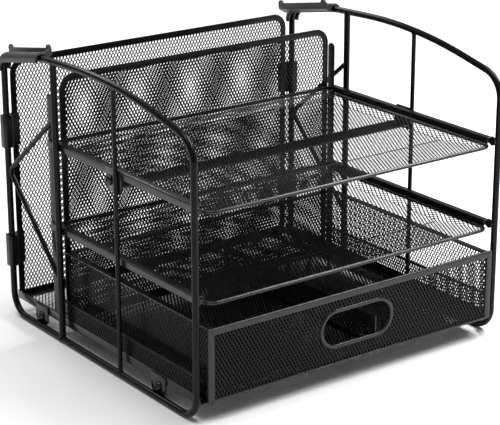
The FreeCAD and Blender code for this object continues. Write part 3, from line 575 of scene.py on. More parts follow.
def join(name: str, parts: Sequence[Piece]) -> Piece:
    """Joins several mesh objects into one.

    Args:
        name: The name of the joined object.
        parts: The objects; all but the first are removed.

    Returns:
        The joined object.
    """
    work = bmesh.new()
    for part in parts:
        work.from_mesh(part.data)
    mesh = bpy.data.meshes.new(name)
    work.to_mesh(mesh)
    work.free()
    for part in parts:
        bpy.data.objects.remove(part)
    piece = bpy.data.objects.new(name, mesh)
    bpy.context.scene.collection.objects.link(piece)
    return piece


def slab(name: str, low: Triple, high: Triple, edge: float) -> Piece:
    """Makes a straight piece of strip or sheet with rounded edges.

    Args:
        name: The object's name.
        low: Its lowest corner in the frame, in millimetres.
        high: Its highest corner.
        edge: How far the rounding reaches from each edge.

    Returns:
        The object.
    """
    ends = list(zip(low, high))
    corners = [(x, y, z) for x in ends[0] for y in ends[1] for z in ends[2]]
    faces = [[0, 1, 3, 2], [4, 6, 7, 5], [0, 4, 5, 1], [2, 3, 7, 6], [0, 2, 6, 4], [1, 5, 7, 3]]
    piece = link_mesh(name, np.array(corners), faces)
    rework(piece, lambda work: round_edges(work, list(work.edges), edge, 3))
    return piece


def strip_profile(wide: float, thick: float, edge: float, steps: int = 4) -> list[Pair]:
    """Gives the cross section of a strip with rounded edges, centred on its middle."""
    return round_box(-wide / 2, -thick / 2, wide / 2, thick / 2, [edge] * 4, step=90 / steps)


@dataclass(frozen=True)
class ExpandedMetal:
    """Sheet that was slit and stretched to diamonds, whose strands all lean the same way.

    The pitches, the thickness and the lean are in millimetres; the openings are shares of a pitch.
    """

    short_way: float = 3.46
    long_way: float = 6.16
    open_short: float = 0.69
    open_long: float = 0.69
    strand_thick: float = 0.3
    lean: float = 0.14

    def sheet(
        self,
        name: str,
        width: float,
        height: float,
        bend: Callable[[np.ndarray], np.ndarray],
        trim: Callable[[np.ndarray], tuple[np.ndarray, np.ndarray]] | None = None,
    ) -> Piece:
        """Builds one sheet of diamonds, with whole or half diamonds along its edges.

        Args:
            name: The object's name.
            width: The sheet's size across, in millimetres.
            height: The sheet's size up.
            bend: Moves points (across, up, out of the sheet) into the frame.
            trim: Gives, for points (across, up), the points drawn in to the outline, and
                whether each lies outside of it.

        Returns:
            The object.
        """
        columns = max(1, round(width / self.short_way))
        rows = max(1, round(height / self.long_way))
        half = np.array([width / columns, height / rows]) / 2

        # The middles of the diamonds stand in two grids, the second shifted by half a diamond.
        spots = []
        for shift in (0, 1):
            across, up = np.meshgrid(np.arange(columns + 1), np.arange(rows + 1), indexing="ij")
            steps = np.stack([across.ravel(), up.ravel()], axis=1) * 2 + shift
            spots.append(steps * half)
        centres = np.concatenate(spots)

        # Each diamond is four strands, from its outline in to its opening; one tip leans out.
        corners = []
        for side_across in (-1, 1):
            for side_up in (-1, 1):
                end = centres + half * [side_across, 0]
                tip = centres + half * [0, side_up]
                inner_end = centres + half * [side_across * self.open_short, 0]
                inner_tip = centres + half * [0, side_up * self.open_long]
                flat = np.stack([end, tip, inner_tip, inner_end], axis=1)
                out = np.tile([0.0, 0.0, side_up * self.lean, 0.0], (len(centres), 1))
                corners.append(np.concatenate([flat, out[:, :, None]], axis=2))
        quarter = np.concatenate(corners)

        # Strands beyond the edges fall away, and those across the outline are drawn in to it.
        middle = quarter[:, :, :2].mean(axis=1)
        inside = ((middle > 0) & (middle < [width, height])).all(axis=1)
        if trim:
            inside &= ~trim(middle)[1]
        quarter = quarter[inside]
        if trim:
            flat = quarter[:, :, :2].reshape(-1, 2)
            quarter[:, :, :2] = trim(flat)[0].reshape(-1, 4, 2)

        # Every strand is a block whose corners it shares with its neighbours. It has a front, a
        # back and the wall of the opening.
        front, back = quarter.copy(), quarter.copy()
        front[:, :, 2] += self.strand_thick / 2
        back[:, :, 2] -= self.strand_thick / 2
        block = np.concatenate([front, back], axis=1).reshape(-1, 3)
        keys = np.round(block / WELD).astype(np.int64)
        unique, first, inverse = np.unique(keys, axis=0, return_index=True, return_inverse=True)
        numbers = inverse.reshape(-1, 8)
        sides = ([0, 1, 2, 3], [7, 6, 5, 4], [3, 2, 6, 7])
        faces = np.concatenate([numbers[:, side] for side in sides])
        whole = [row for row in faces.tolist() if len(set(row)) == 4]
        piece = link_mesh(name, bend(block[first]), whole)
        return piece


# ---------------------------------------------------------------- dressing


@dataclass
class Dresser:
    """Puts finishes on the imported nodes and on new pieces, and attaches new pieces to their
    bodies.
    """

    nodes: dict[str, Piece]
    materials: dict[str, bpy.types.Material] = field(default_factory=dict)

    def coat(self, piece: Piece, finish: BlackFinish) -> None:
        """Gives a piece its finish, whose material is made once.

        Args:
            piece: The mesh object.
            finish: Its finish.
        """
        if finish.name not in self.materials:
            self.materials[finish.name] = finish.make()
        piece.data.materials.clear()
        piece.data.materials.append(self.materials[finish.name])

    def paint(self, name: str, finish: BlackFinish) -> None:
        """Gives a carried-over node its finish."""
        self.coat(self.nodes[name], finish)
        log.info("painted %s with %s", name, finish.name)

    def body_of(self, name: str) -> str:
        """The body that a node rides on."""
        drawer = name.startswith("drawer_") and name != "drawer_bay_floor"
        return DRAWER_BODY if drawer else FRAME_BODY

    def add(
        self,
        piece: Piece,
        finish: BlackFinish,
        body: str,
        stands_for: Sequence[str] = (),
        smooth: float | None = None,
    ) -> None:
        """Dresses a new piece and lets it ride.

        Args:
            piece: The new mesh object.
            finish: Its finish.
            body: The body that it rides on.
            stands_for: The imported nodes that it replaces.
            smooth: Edges sharper than this many degrees stay sharp; None shades all flat.
        """
        shade(piece, smooth)
        self.coat(piece, finish)
        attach(piece, body)
        if stands_for:
            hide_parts(*stands_for)
        log.info("built %s (%d faces)", piece.name, len(piece.data.polygons))

    def soften(
        self, names: Sequence[str], finish: BlackFinish, edge: float, steps: int = 2
    ) -> None:
        """Replaces nodes by the same shapes with their edges rounded over.

        Args:
            names: The nodes.
            finish: Their finish.
            edge: How far the rounding reaches from each edge, in millimetres.
            steps: How many facets make a rounding.
        """

        def soft(work: bmesh.types.BMesh) -> None:
            """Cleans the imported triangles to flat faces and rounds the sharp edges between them.

            Args:
                work: The editable mesh.
            """
            bmesh.ops.remove_doubles(work, verts=work.verts, dist=WELD * MM)
            bmesh.ops.dissolve_limit(
                work,
                angle_limit=math.radians(FLAT_TURN),
                verts=work.verts,
                edges=work.edges,
                delimit={"NORMAL"},
            )
            sharp = math.radians(SHARP_TURN)
            edges = [
                line
                for line in work.edges
                if len(line.link_faces) == 2 and line.calc_face_angle(0) > sharp
            ]
            round_edges(work, edges, edge, steps)
            bmesh.ops.triangulate(work, faces=[face for face in work.faces if len(face.verts) > 4])

        for name in names:
            piece = bpy.data.objects.new(name + "_soft", self.nodes[name].data.copy())
            bpy.context.scene.collection.objects.link(piece)
            rework(piece, soft)
            self.add(piece, finish, self.body_of(name), [name], smooth=32)


# A button-head screw, from the end of its shank to the floor of its hexagon socket: radius,
# height. The shank's own end, which lies at the grip's depth, comes before these.
SCREW_HEAD = [(1.95, -0.2), (1.95, 0.0), (4.35, 0.0), (4.5, 0.25), (4.3, 0.95), (3.75, 1.75)]
SCREW_HEAD += [(2.95, 2.4), (2.2, 2.75), (1.55, 2.7), (1.45, 2.5), (1.45, 1.1)]
SHANK_END = 1.9
SOCKET_ROWS = (9, 10, 11)
SCREW_STEPS = 36


@dataclass
class SubAssembly:
    """A group of pieces that is built together, and the dresser that takes them."""

    dresser: Dresser

    def screws(self, name: str, seats: Sequence[Triple], grip: float, node: str) -> None:
        """Builds a group of button-head screws with hexagon sockets, the same on both sides.

        Args:
            name: The piece's name.
            seats: Where the heads start on the right side.
            grip: The shanks' length.
            node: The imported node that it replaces.
        """
        heads = []
        for _, side in SIDES:
            for seat in seats:
                place = Place((side * seat[0], *seat[1:]), (0, side, 0), UP)
                profile = [(SHANK_END, -grip), *SCREW_HEAD]
                heads.append(lathe("screw", place, profile, SCREW_STEPS, SOCKET_ROWS))
        piece = join(name, heads)
        self.dresser.add(piece, SCREW_OXIDE, FRAME_BODY, [node], smooth=35)


@dataclass
class SideFrames(SubAssembly):
    """The two bent rod loops with their posts, braces and weld fillets."""

    side_reach: float = 163.0
    rod: float = 6.0

    # Each post: how far before the rear rods, its thickness, the height of the loop above it.
    posts: tuple[Triple, ...] = ((87.0, 6.0, 260.25), (183.83, 4.0, 260.02))

    # The weld metal's face: how far it spreads from the post and rises from the rod.
    bead: tuple[Pair, ...] = ((1.0, -0.25), (0.75, 0.15), (0.3, 0.6), (0.05, 1.3), (-0.3, 1.4))
    bead_steps: int = 28

    def dress(self) -> None:
        """Paints the rods and builds the fillets where the posts meet the loops."""
        for name, side in SIDES:
            for part in ("side_frame", "main_post", "slim_post", "zigzag_brace"):
                self.dresser.paint(f"{name}_{part}", ROD_COAT)
            beads = []
            for forward, thick, top in self.posts:
                for height, way in ((self.rod / 2, 1), (top, -1)):
                    spot = (side * self.side_reach, REAR_ROD_Y - forward, height)
                    beads.append(self.fillet(spot, thick / 2, way))
            piece = join(f"{name}_weld_fillets", beads)
            self.dresser.add(piece, ROD_COAT, FRAME_BODY, smooth=60)

    def fillet(self, spot: Triple, radius: float, way: int) -> Piece:
        """Builds the ring of weld metal round one end of a post.

        Args:
            spot: Where the post's middle meets the middle of the loop's rod.
            radius: The post's radius.
            way: 1 where the post stands on the loop, -1 where it meets it from below.

        Returns:
            The ring.
        """
        half = self.rod / 2
        vertices = []
        for spread, rise in self.bead:
            for step in range(self.bead_steps):
                turn = 2 * math.pi * step / self.bead_steps
                reach = radius + spread
                across = reach * math.cos(turn)
                saddle = math.sqrt(max(half * half - across * across, 0))
                vertices.append((across, reach * math.sin(turn), way * (saddle + rise)))
        place = Place(spot, RIGHT, BACK)
        faces = ring_faces(len(self.bead), self.bead_steps, capped=False)
        return place.build("fillet", vertices, faces)


@dataclass
class FileRail(SubAssembly):
    """The moulded rail on one side that the hanging files hook on, and its two panel clips.

    The rail is an arch that snaps over the rod and follows it round the rear corner, a gutter
    that dips beside the rod, and the hook flange with an ear at each end. The points of a section
    are (up from the rod's middle, towards the file bay).
    """

    name: str
    side: int
    side_reach: float = 163.0
    front_y: float = 81.75
    front_height: float = 259.4
    slope: float = 10.742  # degrees
    riser: float = 69.21
    bend: float = 12.0
    skirt: float = 11.0
    arch: float = 6.5
    wall: float = 2.1
    outer_lip: float = 3.3
    keel: float = 2.5
    flange_reach: float = 11.2
    flange_wall: float = 1.8
    flange_low: float = 2.0
    flange_high: float = 8.0
    flange_root: float = 1.0
    ear: float = 7.4
    ear_high: float = 10.9
    ear_round: float = 0.47  # the ears' corner as a share of their length
    ear_lap: float = 0.1
    ear_proud: float = 0.25
    inner_lip: float = 2.2
    wall_hem: float = 0.5  # how far below the rod's middle the groove for the rod starts
    lip_draft: float = 0.2
    crown: float = 0.86  # the arch's height as a share of its half width
    hollow: float = 0.7  # the same of the groove for the rod
    crown_turns: Pair = (0.25, 2.9)  # radians
    hollow_turns: tuple[Pair, ...] = ((0.2, 1.2), (1.9, 2.9))
    gutter_lap: float = 2.0
    web_thick: float = 1.8
    web_lap: float = 3.0
    web_high: float = 5.2
    grain: float = 0.34  # the melted skin's mesh size
    smoothing: int = 4
    clip_edge: float = 0.3

    # The swelling at the flange's foot, from the foot's outer edge: up, towards the file bay.
    foot_swell: tuple[Pair, ...] = ((-0.4, -0.2), (0.6, 0.35), (2.0, 0.0))

    def dress(self) -> None:
        """Builds the rail and rounds over the clips."""
        self.rail()
        clips = [f"{self.name}_{level}_panel_clip" for level in ("upper", "lower")]
        self.dresser.soften(clips, CLIP_NYLON, self.clip_edge)

    @property
    def place(self) -> Place:
        """The plane that the rail is drawn in.

        Returns:
            The upright plane through the rod's middle, its across along the rod.
        """
        turn = math.radians(self.slope)
        start = (self.side * self.side_reach, self.front_y, self.front_height)
        along, rise = math.cos(turn), math.sin(turn)
        return Place(start, (0, along, -rise), (0, rise, along))

    def rail(self) -> None:
        """Joins the rail's parts and melts them to one moulded skin."""
        parts = [self.saddle(), self.gutter(), self.web()]
        parts += [self.knob(start) for start in (0.0, self.riser + self.arch - self.ear)]
        piece = join(f"{self.name}_file_rail_moulded", parts)
        melt = piece.modifiers.new("melt", "REMESH")
        melt.mode, melt.voxel_size = "VOXEL", self.grain * MM
        soft = piece.modifiers.new("soft", "SMOOTH")
        soft.factor, soft.iterations = 0.5, self.smoothing
        bpy.context.view_layer.update()
        melted = piece.evaluated_get(bpy.context.evaluated_depsgraph_get())
        skin = bpy.data.meshes.new_from_object(melted)
        piece.modifiers.clear()
        piece.data = skin
        self.dresser.add(piece, RAIL_NYLON, FRAME_BODY, [f"{self.name}_file_rail"], smooth=60)

    def run(self, walk: Sequence[Pair], section: Sequence[Pair]) -> Piece:
        """Runs a section along the rail.

        Args:
            walk: The points of the run.
            section: The section's points.

        Returns:
            The part.
        """
        turned = [(up, inward * -self.side) for up, inward in section]
        return sweep("rail_part", self.place, walk, turned, closed=False)

    def saddle(self) -> Piece:
        """Builds the arch over the rod, round the rear corner to its skirt.

        Returns:
            The arch.
        """
        turn = math.radians(self.slope)
        walk = round_corners(
            [
                (0, 0, 0),
                (self.riser, 0, self.bend),
                (self.riser + self.skirt * math.sin(turn), -self.skirt * math.cos(turn), 0),
            ],
            closed=False,
        )
        outer, inner = self.arch, self.arch - self.wall
        low, draft = -self.wall_hem, self.lip_draft
        section = [(-self.outer_lip, -outer + draft), (-self.outer_lip, -inner), (low, -inner)]
        for start, end in self.hollow_turns:
            turns = np.linspace(start, end, 6)
            section += [
                (inner * math.sin(turn) * self.hollow, -inner * math.cos(turn)) for turn in turns
            ]
        section += [(low, inner), (-self.inner_lip, inner), (-self.inner_lip, outer - 2 * draft)]
        section += [(0.0, outer)]
        turns = np.linspace(*self.crown_turns, 16)
        section += [(outer * self.crown * math.sin(turn), outer * math.cos(turn)) for turn in turns]
        section += [(0.0, -outer)]
        return self.run(walk, section)

    def gutter(self) -> Piece:
        """Builds the dipping gutter and the upright hook flange.

        Returns:
            The gutter with its flange.
        """
        reach, wall, start = self.flange_reach, self.flange_wall, self.arch - self.gutter_lap
        section = [
            (self.wall - self.keel, start),
            (-self.keel, start),
            *((self.flange_low + up, reach + inward) for up, inward in self.foot_swell),
            (self.flange_high, reach),
            (self.flange_high, reach - wall),
            (self.flange_low + self.flange_root, reach - wall),
        ]
        return self.run([(0, 0), (self.riser + self.arch, 0)], section)

    def web(self) -> Piece:
        """Builds the wall that closes the gutter at its front end.

        Returns:
            The wall.
        """
        section = [
            (-self.keel, self.arch - self.gutter_lap),
            (self.flange_low, self.flange_reach),
            (self.flange_high, self.flange_reach),
            (self.web_high, self.arch - self.web_lap),
        ]
        return self.run([(0, 0), (self.web_thick, 0)], section)

    def knob(self, start: float) -> Piece:
        """Builds one ear, round on top.

        Args:
            start: Where the ear starts along the rod.

        Returns:
            The ear.
        """
        rise, radius = self.ear_high - self.flange_low, self.ear * self.ear_round
        outline = round_box(0, 0, self.ear, rise, (0, 0, radius, radius))
        near = self.flange_reach - self.flange_wall - self.ear_lap
        far = self.flange_reach + self.ear_proud
        vertices = [
            (start + along, self.flange_low + up, inward * -self.side)
            for inward in (near, far)
            for along, up in outline
        ]
        return self.place.build("knob", vertices, ring_faces(2, len(outline)))


@dataclass
class UprightPanels(SubAssembly):
    """The rear panel and the divider, each a strip frame round a sheet, and the uprights."""

    metal: ExpandedMetal
    strip: float = 6.0
    strip_thick: float = 1.2
    strip_edge: float = 0.45
    corner: float = 15.0
    foot_corner: float = 4.0
    lap: float = 1.6
    rear_reach: float = 156.5
    rear_y: float = 151.75
    rear_low: float = 14.0
    divider_reach: float = 150.0
    divider_y: float = 75.85
    divider_low: float = 15.2
    top: float = 244.0
    upright_edge: float = 0.3

    def dress(self) -> None:
        """Builds both panels and softens the uprights."""
        for name, reach, depth, low in (
            ("rear_panel", self.rear_reach, self.rear_y, self.rear_low),
            ("divider", self.divider_reach, self.divider_y, self.divider_low),
        ):
            half = self.strip / 2
            radius, foot = self.corner - half, self.foot_corner - half
            radii = (foot, foot, radius, radius)
            walk = round_box(-reach + half, low + half, reach - half, self.top - half, radii)
            upright = Place((0, depth, 0), RIGHT, UP)
            profile = strip_profile(self.strip, self.strip_thick, self.strip_edge)
            frame = sweep(f"{name}_frame_rolled", upright, walk, profile, closed=True)
            self.dresser.add(frame, PANEL_COAT, FRAME_BODY, [f"{name}_frame"], smooth=40)
            inset = self.strip - self.lap
            across, up = 2 * (reach - inset), self.top - low - 2 * inset
            place = Place((inset - reach, depth, low + inset), RIGHT, UP)
            sheet = self.metal.sheet(f"{name}_lattice", across, up, place.put)
            self.dresser.add(sheet, MESH_COAT, FRAME_BODY, [f"{name}_mesh"])
        self.dresser.soften([f"{name}_upright" for name, _ in SIDES], PANEL_COAT, self.upright_edge)


# The rolled lip of a tray, from its outer edge inwards: two beads with a groove between them.
LIP_SECTION = [(0.0, -1.3), (0.1, -0.65), (0.42, -0.18), (0.9, 0.0), (1.35, -0.18), (1.62, -0.62)]
LIP_SECTION += [(1.85, -0.62), (2.1, -0.2), (2.55, 0.0), (3.05, -0.18), (3.4, -0.65), (3.5, -1.3)]
LIP_SECTION += [(3.4, -2.1), (3.0, -2.5), (0.5, -2.5), (0.1, -2.1)]


@dataclass
class LetterTrays(SubAssembly):
    """Two trays, each a formed rim with a creased pan on two flat bars, and the cross bar."""

    metal: ExpandedMetal
    heights: tuple[tuple[str, float], ...] = (("top", 186.0), ("middle", 109.0))
    leg_inner: float = 153.0
    pan_rear: float = 75.7
    pan_front: float = 300.0
    floor_reach: float = 140.0
    floor_rear: float = 83.7
    floor_front: float = 250.0
    sink: float = 10.5
    rear_leg: float = 3.6
    side_leg: float = 5.6
    front_edge: float = 7.0
    corner: float = 10.0
    leg_reach: float = 154.0
    flange_outer: float = 159.6
    flange_front: float = 296.0
    rear_forward: float = 74.7
    front_forward: float = 303.5
    lip_drop: float = 5.0
    sheet: float = 1.0
    sheet_edge: float = 0.4
    crease_corner: float = 6.0
    crease: Triple = (0.7, 0.5, 0.2)  # width, thickness, edge
    bar_edge: float = 0.35
    cross_edge: float = 0.3
    lug_edge: float = 0.2
    lug_thick: float = 1.0
    screw_forward: float = 170.53
    screw_height: float = 175.4
    screw_grip: float = 5.0

    def dress(self) -> None:
        """Builds the pans and softens the sheet and strip pieces."""
        for tray, height in self.heights:
            self.rim(tray, height)
            self.crease_wire(tray, height)
            bars = [f"{tray}_tray_{name}_bar" for name, _ in SIDES]
            self.dresser.soften(bars, STRIP_COAT_PAINTED_LIGHTER, self.bar_edge, steps=3)
            self.pan(tray, height)
        self.dresser.soften(["tray_cross_bar"], STRIP_COAT_PAINTED_LIGHTER, self.cross_edge)
        lugs = [f"{name}_cross_bar_lug" for name, _ in SIDES]
        self.dresser.soften(lugs, STRIP_COAT_PAINTED_LIGHTER, self.lug_edge)
        seat = (STRIP_FACE + self.lug_thick, REAR_ROD_Y - self.screw_forward, self.screw_height)
        self.screws("cross_bar_screw_heads", [seat], self.screw_grip, "cross_bar_screws")
        self.dresser.paint("cross_bar_nuts", SCREW_OXIDE)

    def rim(self, tray: str, height: float) -> None:
        """Builds one formed rim: a shallow rear leg, side legs with flanges, and a rolled lip.

        Args:
            tray: "top" or "middle".
            height: The rim's upper side above the floor.
        """
        rear = REAR_ROD_Y - self.rear_forward
        flange_front = REAR_ROD_Y - self.flange_front
        legs = [(-self.leg_reach, rear - self.sheet, self.leg_reach, rear, self.rear_leg)]
        for _, side in SIDES:
            for outer, drop in ((self.leg_reach, self.side_leg), (self.flange_outer, self.sheet)):
                left, right = sorted((side * (self.leg_reach - self.sheet), side * outer))
                legs.append((left, flange_front, right, rear, drop))
        parts = [
            slab("leg", (left, near, height - drop), (right, far, height), self.sheet_edge)
            for left, near, right, far, drop in legs
        ]
        corner = self.corner + self.sheet
        front = REAR_ROD_Y - self.front_forward
        walk = round_corners(
            [
                (-self.leg_reach, rear, 0),
                (-self.leg_reach, front, corner),
                (self.leg_reach, front, corner),
                (self.leg_reach, rear, 0),
            ],
            closed=False,
        )
        place = Place((0, 0, height - self.lip_drop), RIGHT, BACK)
        parts.append(sweep("lip", place, walk, LIP_SECTION, closed=False))
        piece = join(f"{tray}_tray_rim_formed", parts)
        self.dresser.add(piece, STRIP_COAT_PAINTED_LIGHTER, FRAME_BODY, [f"{tray}_tray_rim"], smooth=45)

    def crease_wire(self, tray: str, height: float) -> None:
        """Builds the crease round one pan's floor.

        Args:
            tray: "top" or "middle".
            height: The rim's upper side above the floor.
        """
        walk = round_box(
            -self.floor_reach,
            REAR_ROD_Y - self.floor_front,
            self.floor_reach,
            REAR_ROD_Y - self.floor_rear,
            [self.crease_corner] * 4,
        )
        place = Place((0, 0, height - self.sink + self.metal.strand_thick), RIGHT, BACK)
        profile = strip_profile(*self.crease, steps=2)
        fold = sweep(f"{tray}_tray_crease", place, walk, profile, closed=True)
        self.dresser.add(fold, MESH_COAT, FRAME_BODY, smooth=60)

    def pan(self, tray: str, height: float) -> None:
        """Builds one creased pan of expanded metal.

        Args:
            tray: "top" or "middle".
            height: The rim's upper side above the floor.
        """
        low = height - self.sink + self.metal.strand_thick

        def bend(points: np.ndarray) -> np.ndarray:
            """Lifts the flat sheet to the pan's form.

            Args:
                points: Points (across, up, out of the sheet).

            Returns:
                The same points in the frame.
            """
            across = points[:, 0] - self.leg_inner
            forward = self.pan_front - points[:, 1]
            side = (np.abs(across) - self.floor_reach) / (self.leg_inner - self.floor_reach)
            front = (forward - self.floor_front) / (self.pan_front - self.floor_front)
            rear = (self.floor_rear - forward) / (self.floor_rear - self.pan_rear)
            rise = np.maximum.reduce(
                [
                    np.clip(side, 0, 1) * (self.sink - self.side_leg),
                    np.clip(front, 0, 1) * (self.sink - self.front_edge),
                    np.clip(rear, 0, 1) * (self.sink - self.rear_leg),
                ]
            )
            return np.stack([across, REAR_ROD_Y - forward, low + rise + points[:, 2]], axis=1)

        def trim(points: np.ndarray) -> tuple[np.ndarray, np.ndarray]:
            """Draws points beyond the round front corners in to them.

            Args:
                points: Points (across, up) of the sheet.

            Returns:
                The points drawn to the outline, and whether each lies beyond it.
            """
            moved = points.copy()
            across = points[:, 0] - self.leg_inner
            straight = self.leg_inner - self.corner
            past = np.stack([np.abs(across) - straight, self.corner - points[:, 1]], axis=1)
            length = np.linalg.norm(past, axis=1)
            beyond = (past > 0).all(axis=1) & (length > self.corner)
            scale = np.where(beyond, self.corner / np.maximum(length, TINY), 1.0)
            drawn = past * scale[:, None]
            reach = np.sign(across[beyond]) * (drawn[beyond, 0] + straight)
            moved[beyond, 0] = reach + self.leg_inner
            moved[beyond, 1] = self.corner - drawn[beyond, 1]
            return moved, beyond

        wide, deep = 2 * self.leg_inner, self.pan_front - self.pan_rear
        sheet = self.metal.sheet(f"{tray}_tray_lattice", wide, deep, bend, trim=trim)
        self.dresser.add(sheet, MESH_COAT, FRAME_BODY, [f"{tray}_tray_pan"])


@dataclass
class BaseTray(SubAssembly):
    """The base: strip ladder, two floors, low side walls, ridge wires and screwed tabs."""

    metal: ExpandedMetal
    floor_metal: ExpandedMetal
    inner: float = 150.4
    floor_height: float = 14.6
    lap: float = 1.5
    file_bay: Pair = (6.6, 69.9)
    drawer_bay: Pair = (77.9, 289.0)
    wall_reach: float = 157.8
    wall: Pair = (74.7, 297.0)
    wall_low: float = 20.5
    wall_top: float = 37.6
    tab_forwards: Pair = (44.5, 238.0)
    tab_screw: float = 10.5
    tab_grip: float = 1.6
    strip_edge: float = 0.3

    def dress(self) -> None:
        """Builds the sheets and screws, and softens the strips."""
        self.dresser.soften(["base_frame"], STRIP_COAT_PAINTED_LIGHTER, self.strip_edge)
        for name, (rear, front), metal in (
            ("file_bay_floor", self.file_bay, self.metal),
            ("drawer_bay_floor", self.drawer_bay, self.floor_metal),
        ):
            reach, deep = self.inner + self.lap, front - rear + 2 * self.lap
            place = Place((-reach, REAR_ROD_Y - front - self.lap, self.floor_height), RIGHT, BACK)
            sheet = metal.sheet(f"{name}_lattice", 2 * reach, deep, place.put)
            self.dresser.add(sheet, MESH_COAT, FRAME_BODY, [name])
        for name, side in SIDES:
            spot = (side * self.wall_reach, REAR_ROD_Y - self.wall[1], self.wall_low)
            place = Place(spot, BACK, UP)
            long, tall = self.wall[1] - self.wall[0], self.wall_top - self.wall_low
            sheet = self.metal.sheet(f"{name}_base_wall_lattice", long, tall, place.put)
            self.dresser.add(sheet, MESH_COAT, FRAME_BODY, [f"{name}_base_wall"])
            self.dresser.paint(f"{name}_base_ridge", ROD_COAT)
            tabs = [f"{name}_{spot}_base_tab" for spot in ("rear", "front")]
            self.dresser.soften(tabs, STRIP_COAT_PAINTED_LIGHTER, self.strip_edge)
        depths = [REAR_ROD_Y - forward for forward in self.tab_forwards]
        seats = [(STRIP_FACE, depth, self.tab_screw) for depth in depths]
        self.screws("base_tab_screw_heads", seats, self.tab_grip, "base_tab_screws")


@dataclass
class Drawer(SubAssembly):
    """The sliding drawer: front with a finger slot, box of expanded metal and a partition."""

    metal: ExpandedMetal
    floor_metal: ExpandedMetal
    front_y: float = -155.25
    front_reach: float = 155.5
    front_low: float = 18.0
    front_top: float = 83.0
    front_strip: float = 6.2
    front_foot: float = 2.4
    front_half_thick: float = 1.0
    mitre_gap: float = 0.12
    lap: float = 1.5
    slot_half: float = 22.4
    slot_radius: float = 14.4
    slot_height: float = 51.0
    trim_width: float = 3.4
    trim_deep: float = 1.0
    trim_square: float = 0.7  # 1 makes the trim's section an ellipse, less squares it
    trim_steps: int = 16
    wall_reach: float = 150.0
    rear_y: float = 69.75
    box_front_y: float = -154.25
    foot_top: float = 23.5
    wall_top: float = 80.8
    wall_under: float = 1.0
    wall_over: float = 0.5
    floor_height: float = 21.4
    partition_x: float = 22.0
    partition: Pair = (26.8, 46.8)
    partition_inset: float = 3.8
    partition_back: float = 5.0
    rear_sunk: float = 0.4
    tuck: float = 1.2  # how far a sheet reaches behind the strip beside it
    strip_edge: float = 0.25

    # The face of a mitred strip: share of its width, and share of its half thickness.
    face: tuple[Pair, ...] = (
        (0.0, -1.0),
        (0.0, 0.2),
        (0.03, 0.62),
        (0.09, 0.9),
        (0.2, 1.0),
        (0.82, 1.0),
        (0.93, 0.88),
        (0.99, 0.55),
        (1.0, 0.1),
        (1.0, -1.0),
    )

    def dress(self) -> None:
        """Builds and dresses every piece of the drawer."""
        self.front_frame()
        self.front_sheet()
        self.slot_trim()
        self.box()
        strips = ("drawer_top_rim", "drawer_foot_strip", "drawer_partition_frame")
        self.dresser.soften(strips, STRIP_COAT_PAINTED_LIGHTER, self.strip_edge)

    def front_frame(self) -> None:
        """Builds the front's four strips, mitred at the corners, the lowest folded under."""
        reach, low, high, side = self.front_reach, self.front_low, self.front_top, self.front_strip
        foot = low + self.front_foot
        outer = [(-reach, low), (reach, low), (reach, high), (-reach, high)]
        inner = [(-reach + side, foot), (reach - side, foot)]
        inner += [(reach - side, high - side), (-reach + side, high - side)]
        place = Place((0, self.front_y, 0), RIGHT, UP)
        parts = []
        for row in range(4):
            after = (row + 1) % 4
            ends = []
            for corner, other in ((row, after), (after, row)):
                way = np.array(outer[other], float) - outer[corner]
                shift = way / np.linalg.norm(way) * self.mitre_gap
                for share, out in self.face:
                    edge = np.array(outer[corner]) * (1 - share)
                    spot = edge + np.array(inner[corner]) * share + shift
                    ends.append((*spot, out * self.front_half_thick))
            parts.append(place.build("front_strip", ends, ring_faces(2, len(self.face))))
        piece = join("drawer_front_frame_mitred", parts)
        self.dresser.add(piece, STRIP_COAT_PAINTED_LIGHTER, DRAWER_BODY, ["drawer_front_frame"], smooth=50)

    def front_sheet(self) -> None:
        """Builds the front's sheet with the opening for the finger slot."""
        inset = self.front_strip - self.lap
        left, low = -self.front_reach + inset, self.front_low + self.front_foot / 2
        ring = self.slot_radius + self.trim_width / 2

        def trim(points: np.ndarray) -> tuple[np.ndarray, np.ndarray]:
            """Pushes points inside the slot out to the middle of its trim.

            Args:
                points: Points (across, up) of the sheet.

            Returns:
                The points drawn to the outline, and whether each lies in the slot.
            """
            along = np.clip(points[:, 0] + left, -self.slot_half, self.slot_half)
            centre = np.stack([along, np.full(len(points), self.slot_height)], axis=1)
            arm = points + [left, low] - centre
            length = np.linalg.norm(arm, axis=1)
            inside = length < ring
            moved = points.copy()
            scale = ring / np.maximum(length, TINY)
            moved[inside] = (centre + arm * scale[:, None] - [left, low])[inside]
            return moved, inside

        place = Place((left, self.front_y, low), RIGHT, UP)
        sheet = self.metal.sheet(
            "drawer_front_lattice", -2 * left, self.front_top - inset - low, place.put, trim=trim
        )
        self.dresser.add(sheet, MESH_COAT, DRAWER_BODY, ["drawer_front_mesh"])

    def slot_trim(self) -> None:
        """Builds the rolled ring round the finger slot."""
        radius, reach = self.slot_radius, self.slot_half + self.slot_radius

        # A hair less than half the height, so that the short sides keep some length.
        bend = radius * 0.999
        walk = round_box(-reach, -radius, reach, radius, [bend] * 4)
        profile = []
        for step in range(self.trim_steps):
            turn = 2 * math.pi * step / self.trim_steps
            along, out = (
                math.copysign(abs(part) ** self.trim_square, part)
                for part in (math.cos(turn), math.sin(turn))
            )
            profile.append((self.trim_width / 2 * (along - 1), self.trim_deep * out))
        place = Place((0, self.front_y, self.slot_height), RIGHT, UP)
        ring = sweep("drawer_slot_trim", place, walk, profile, closed=True)
        self.dresser.add(ring, STRIP_COAT_PAINTED_LIGHTER, DRAWER_BODY, ["drawer_pull_ring"], smooth=50)

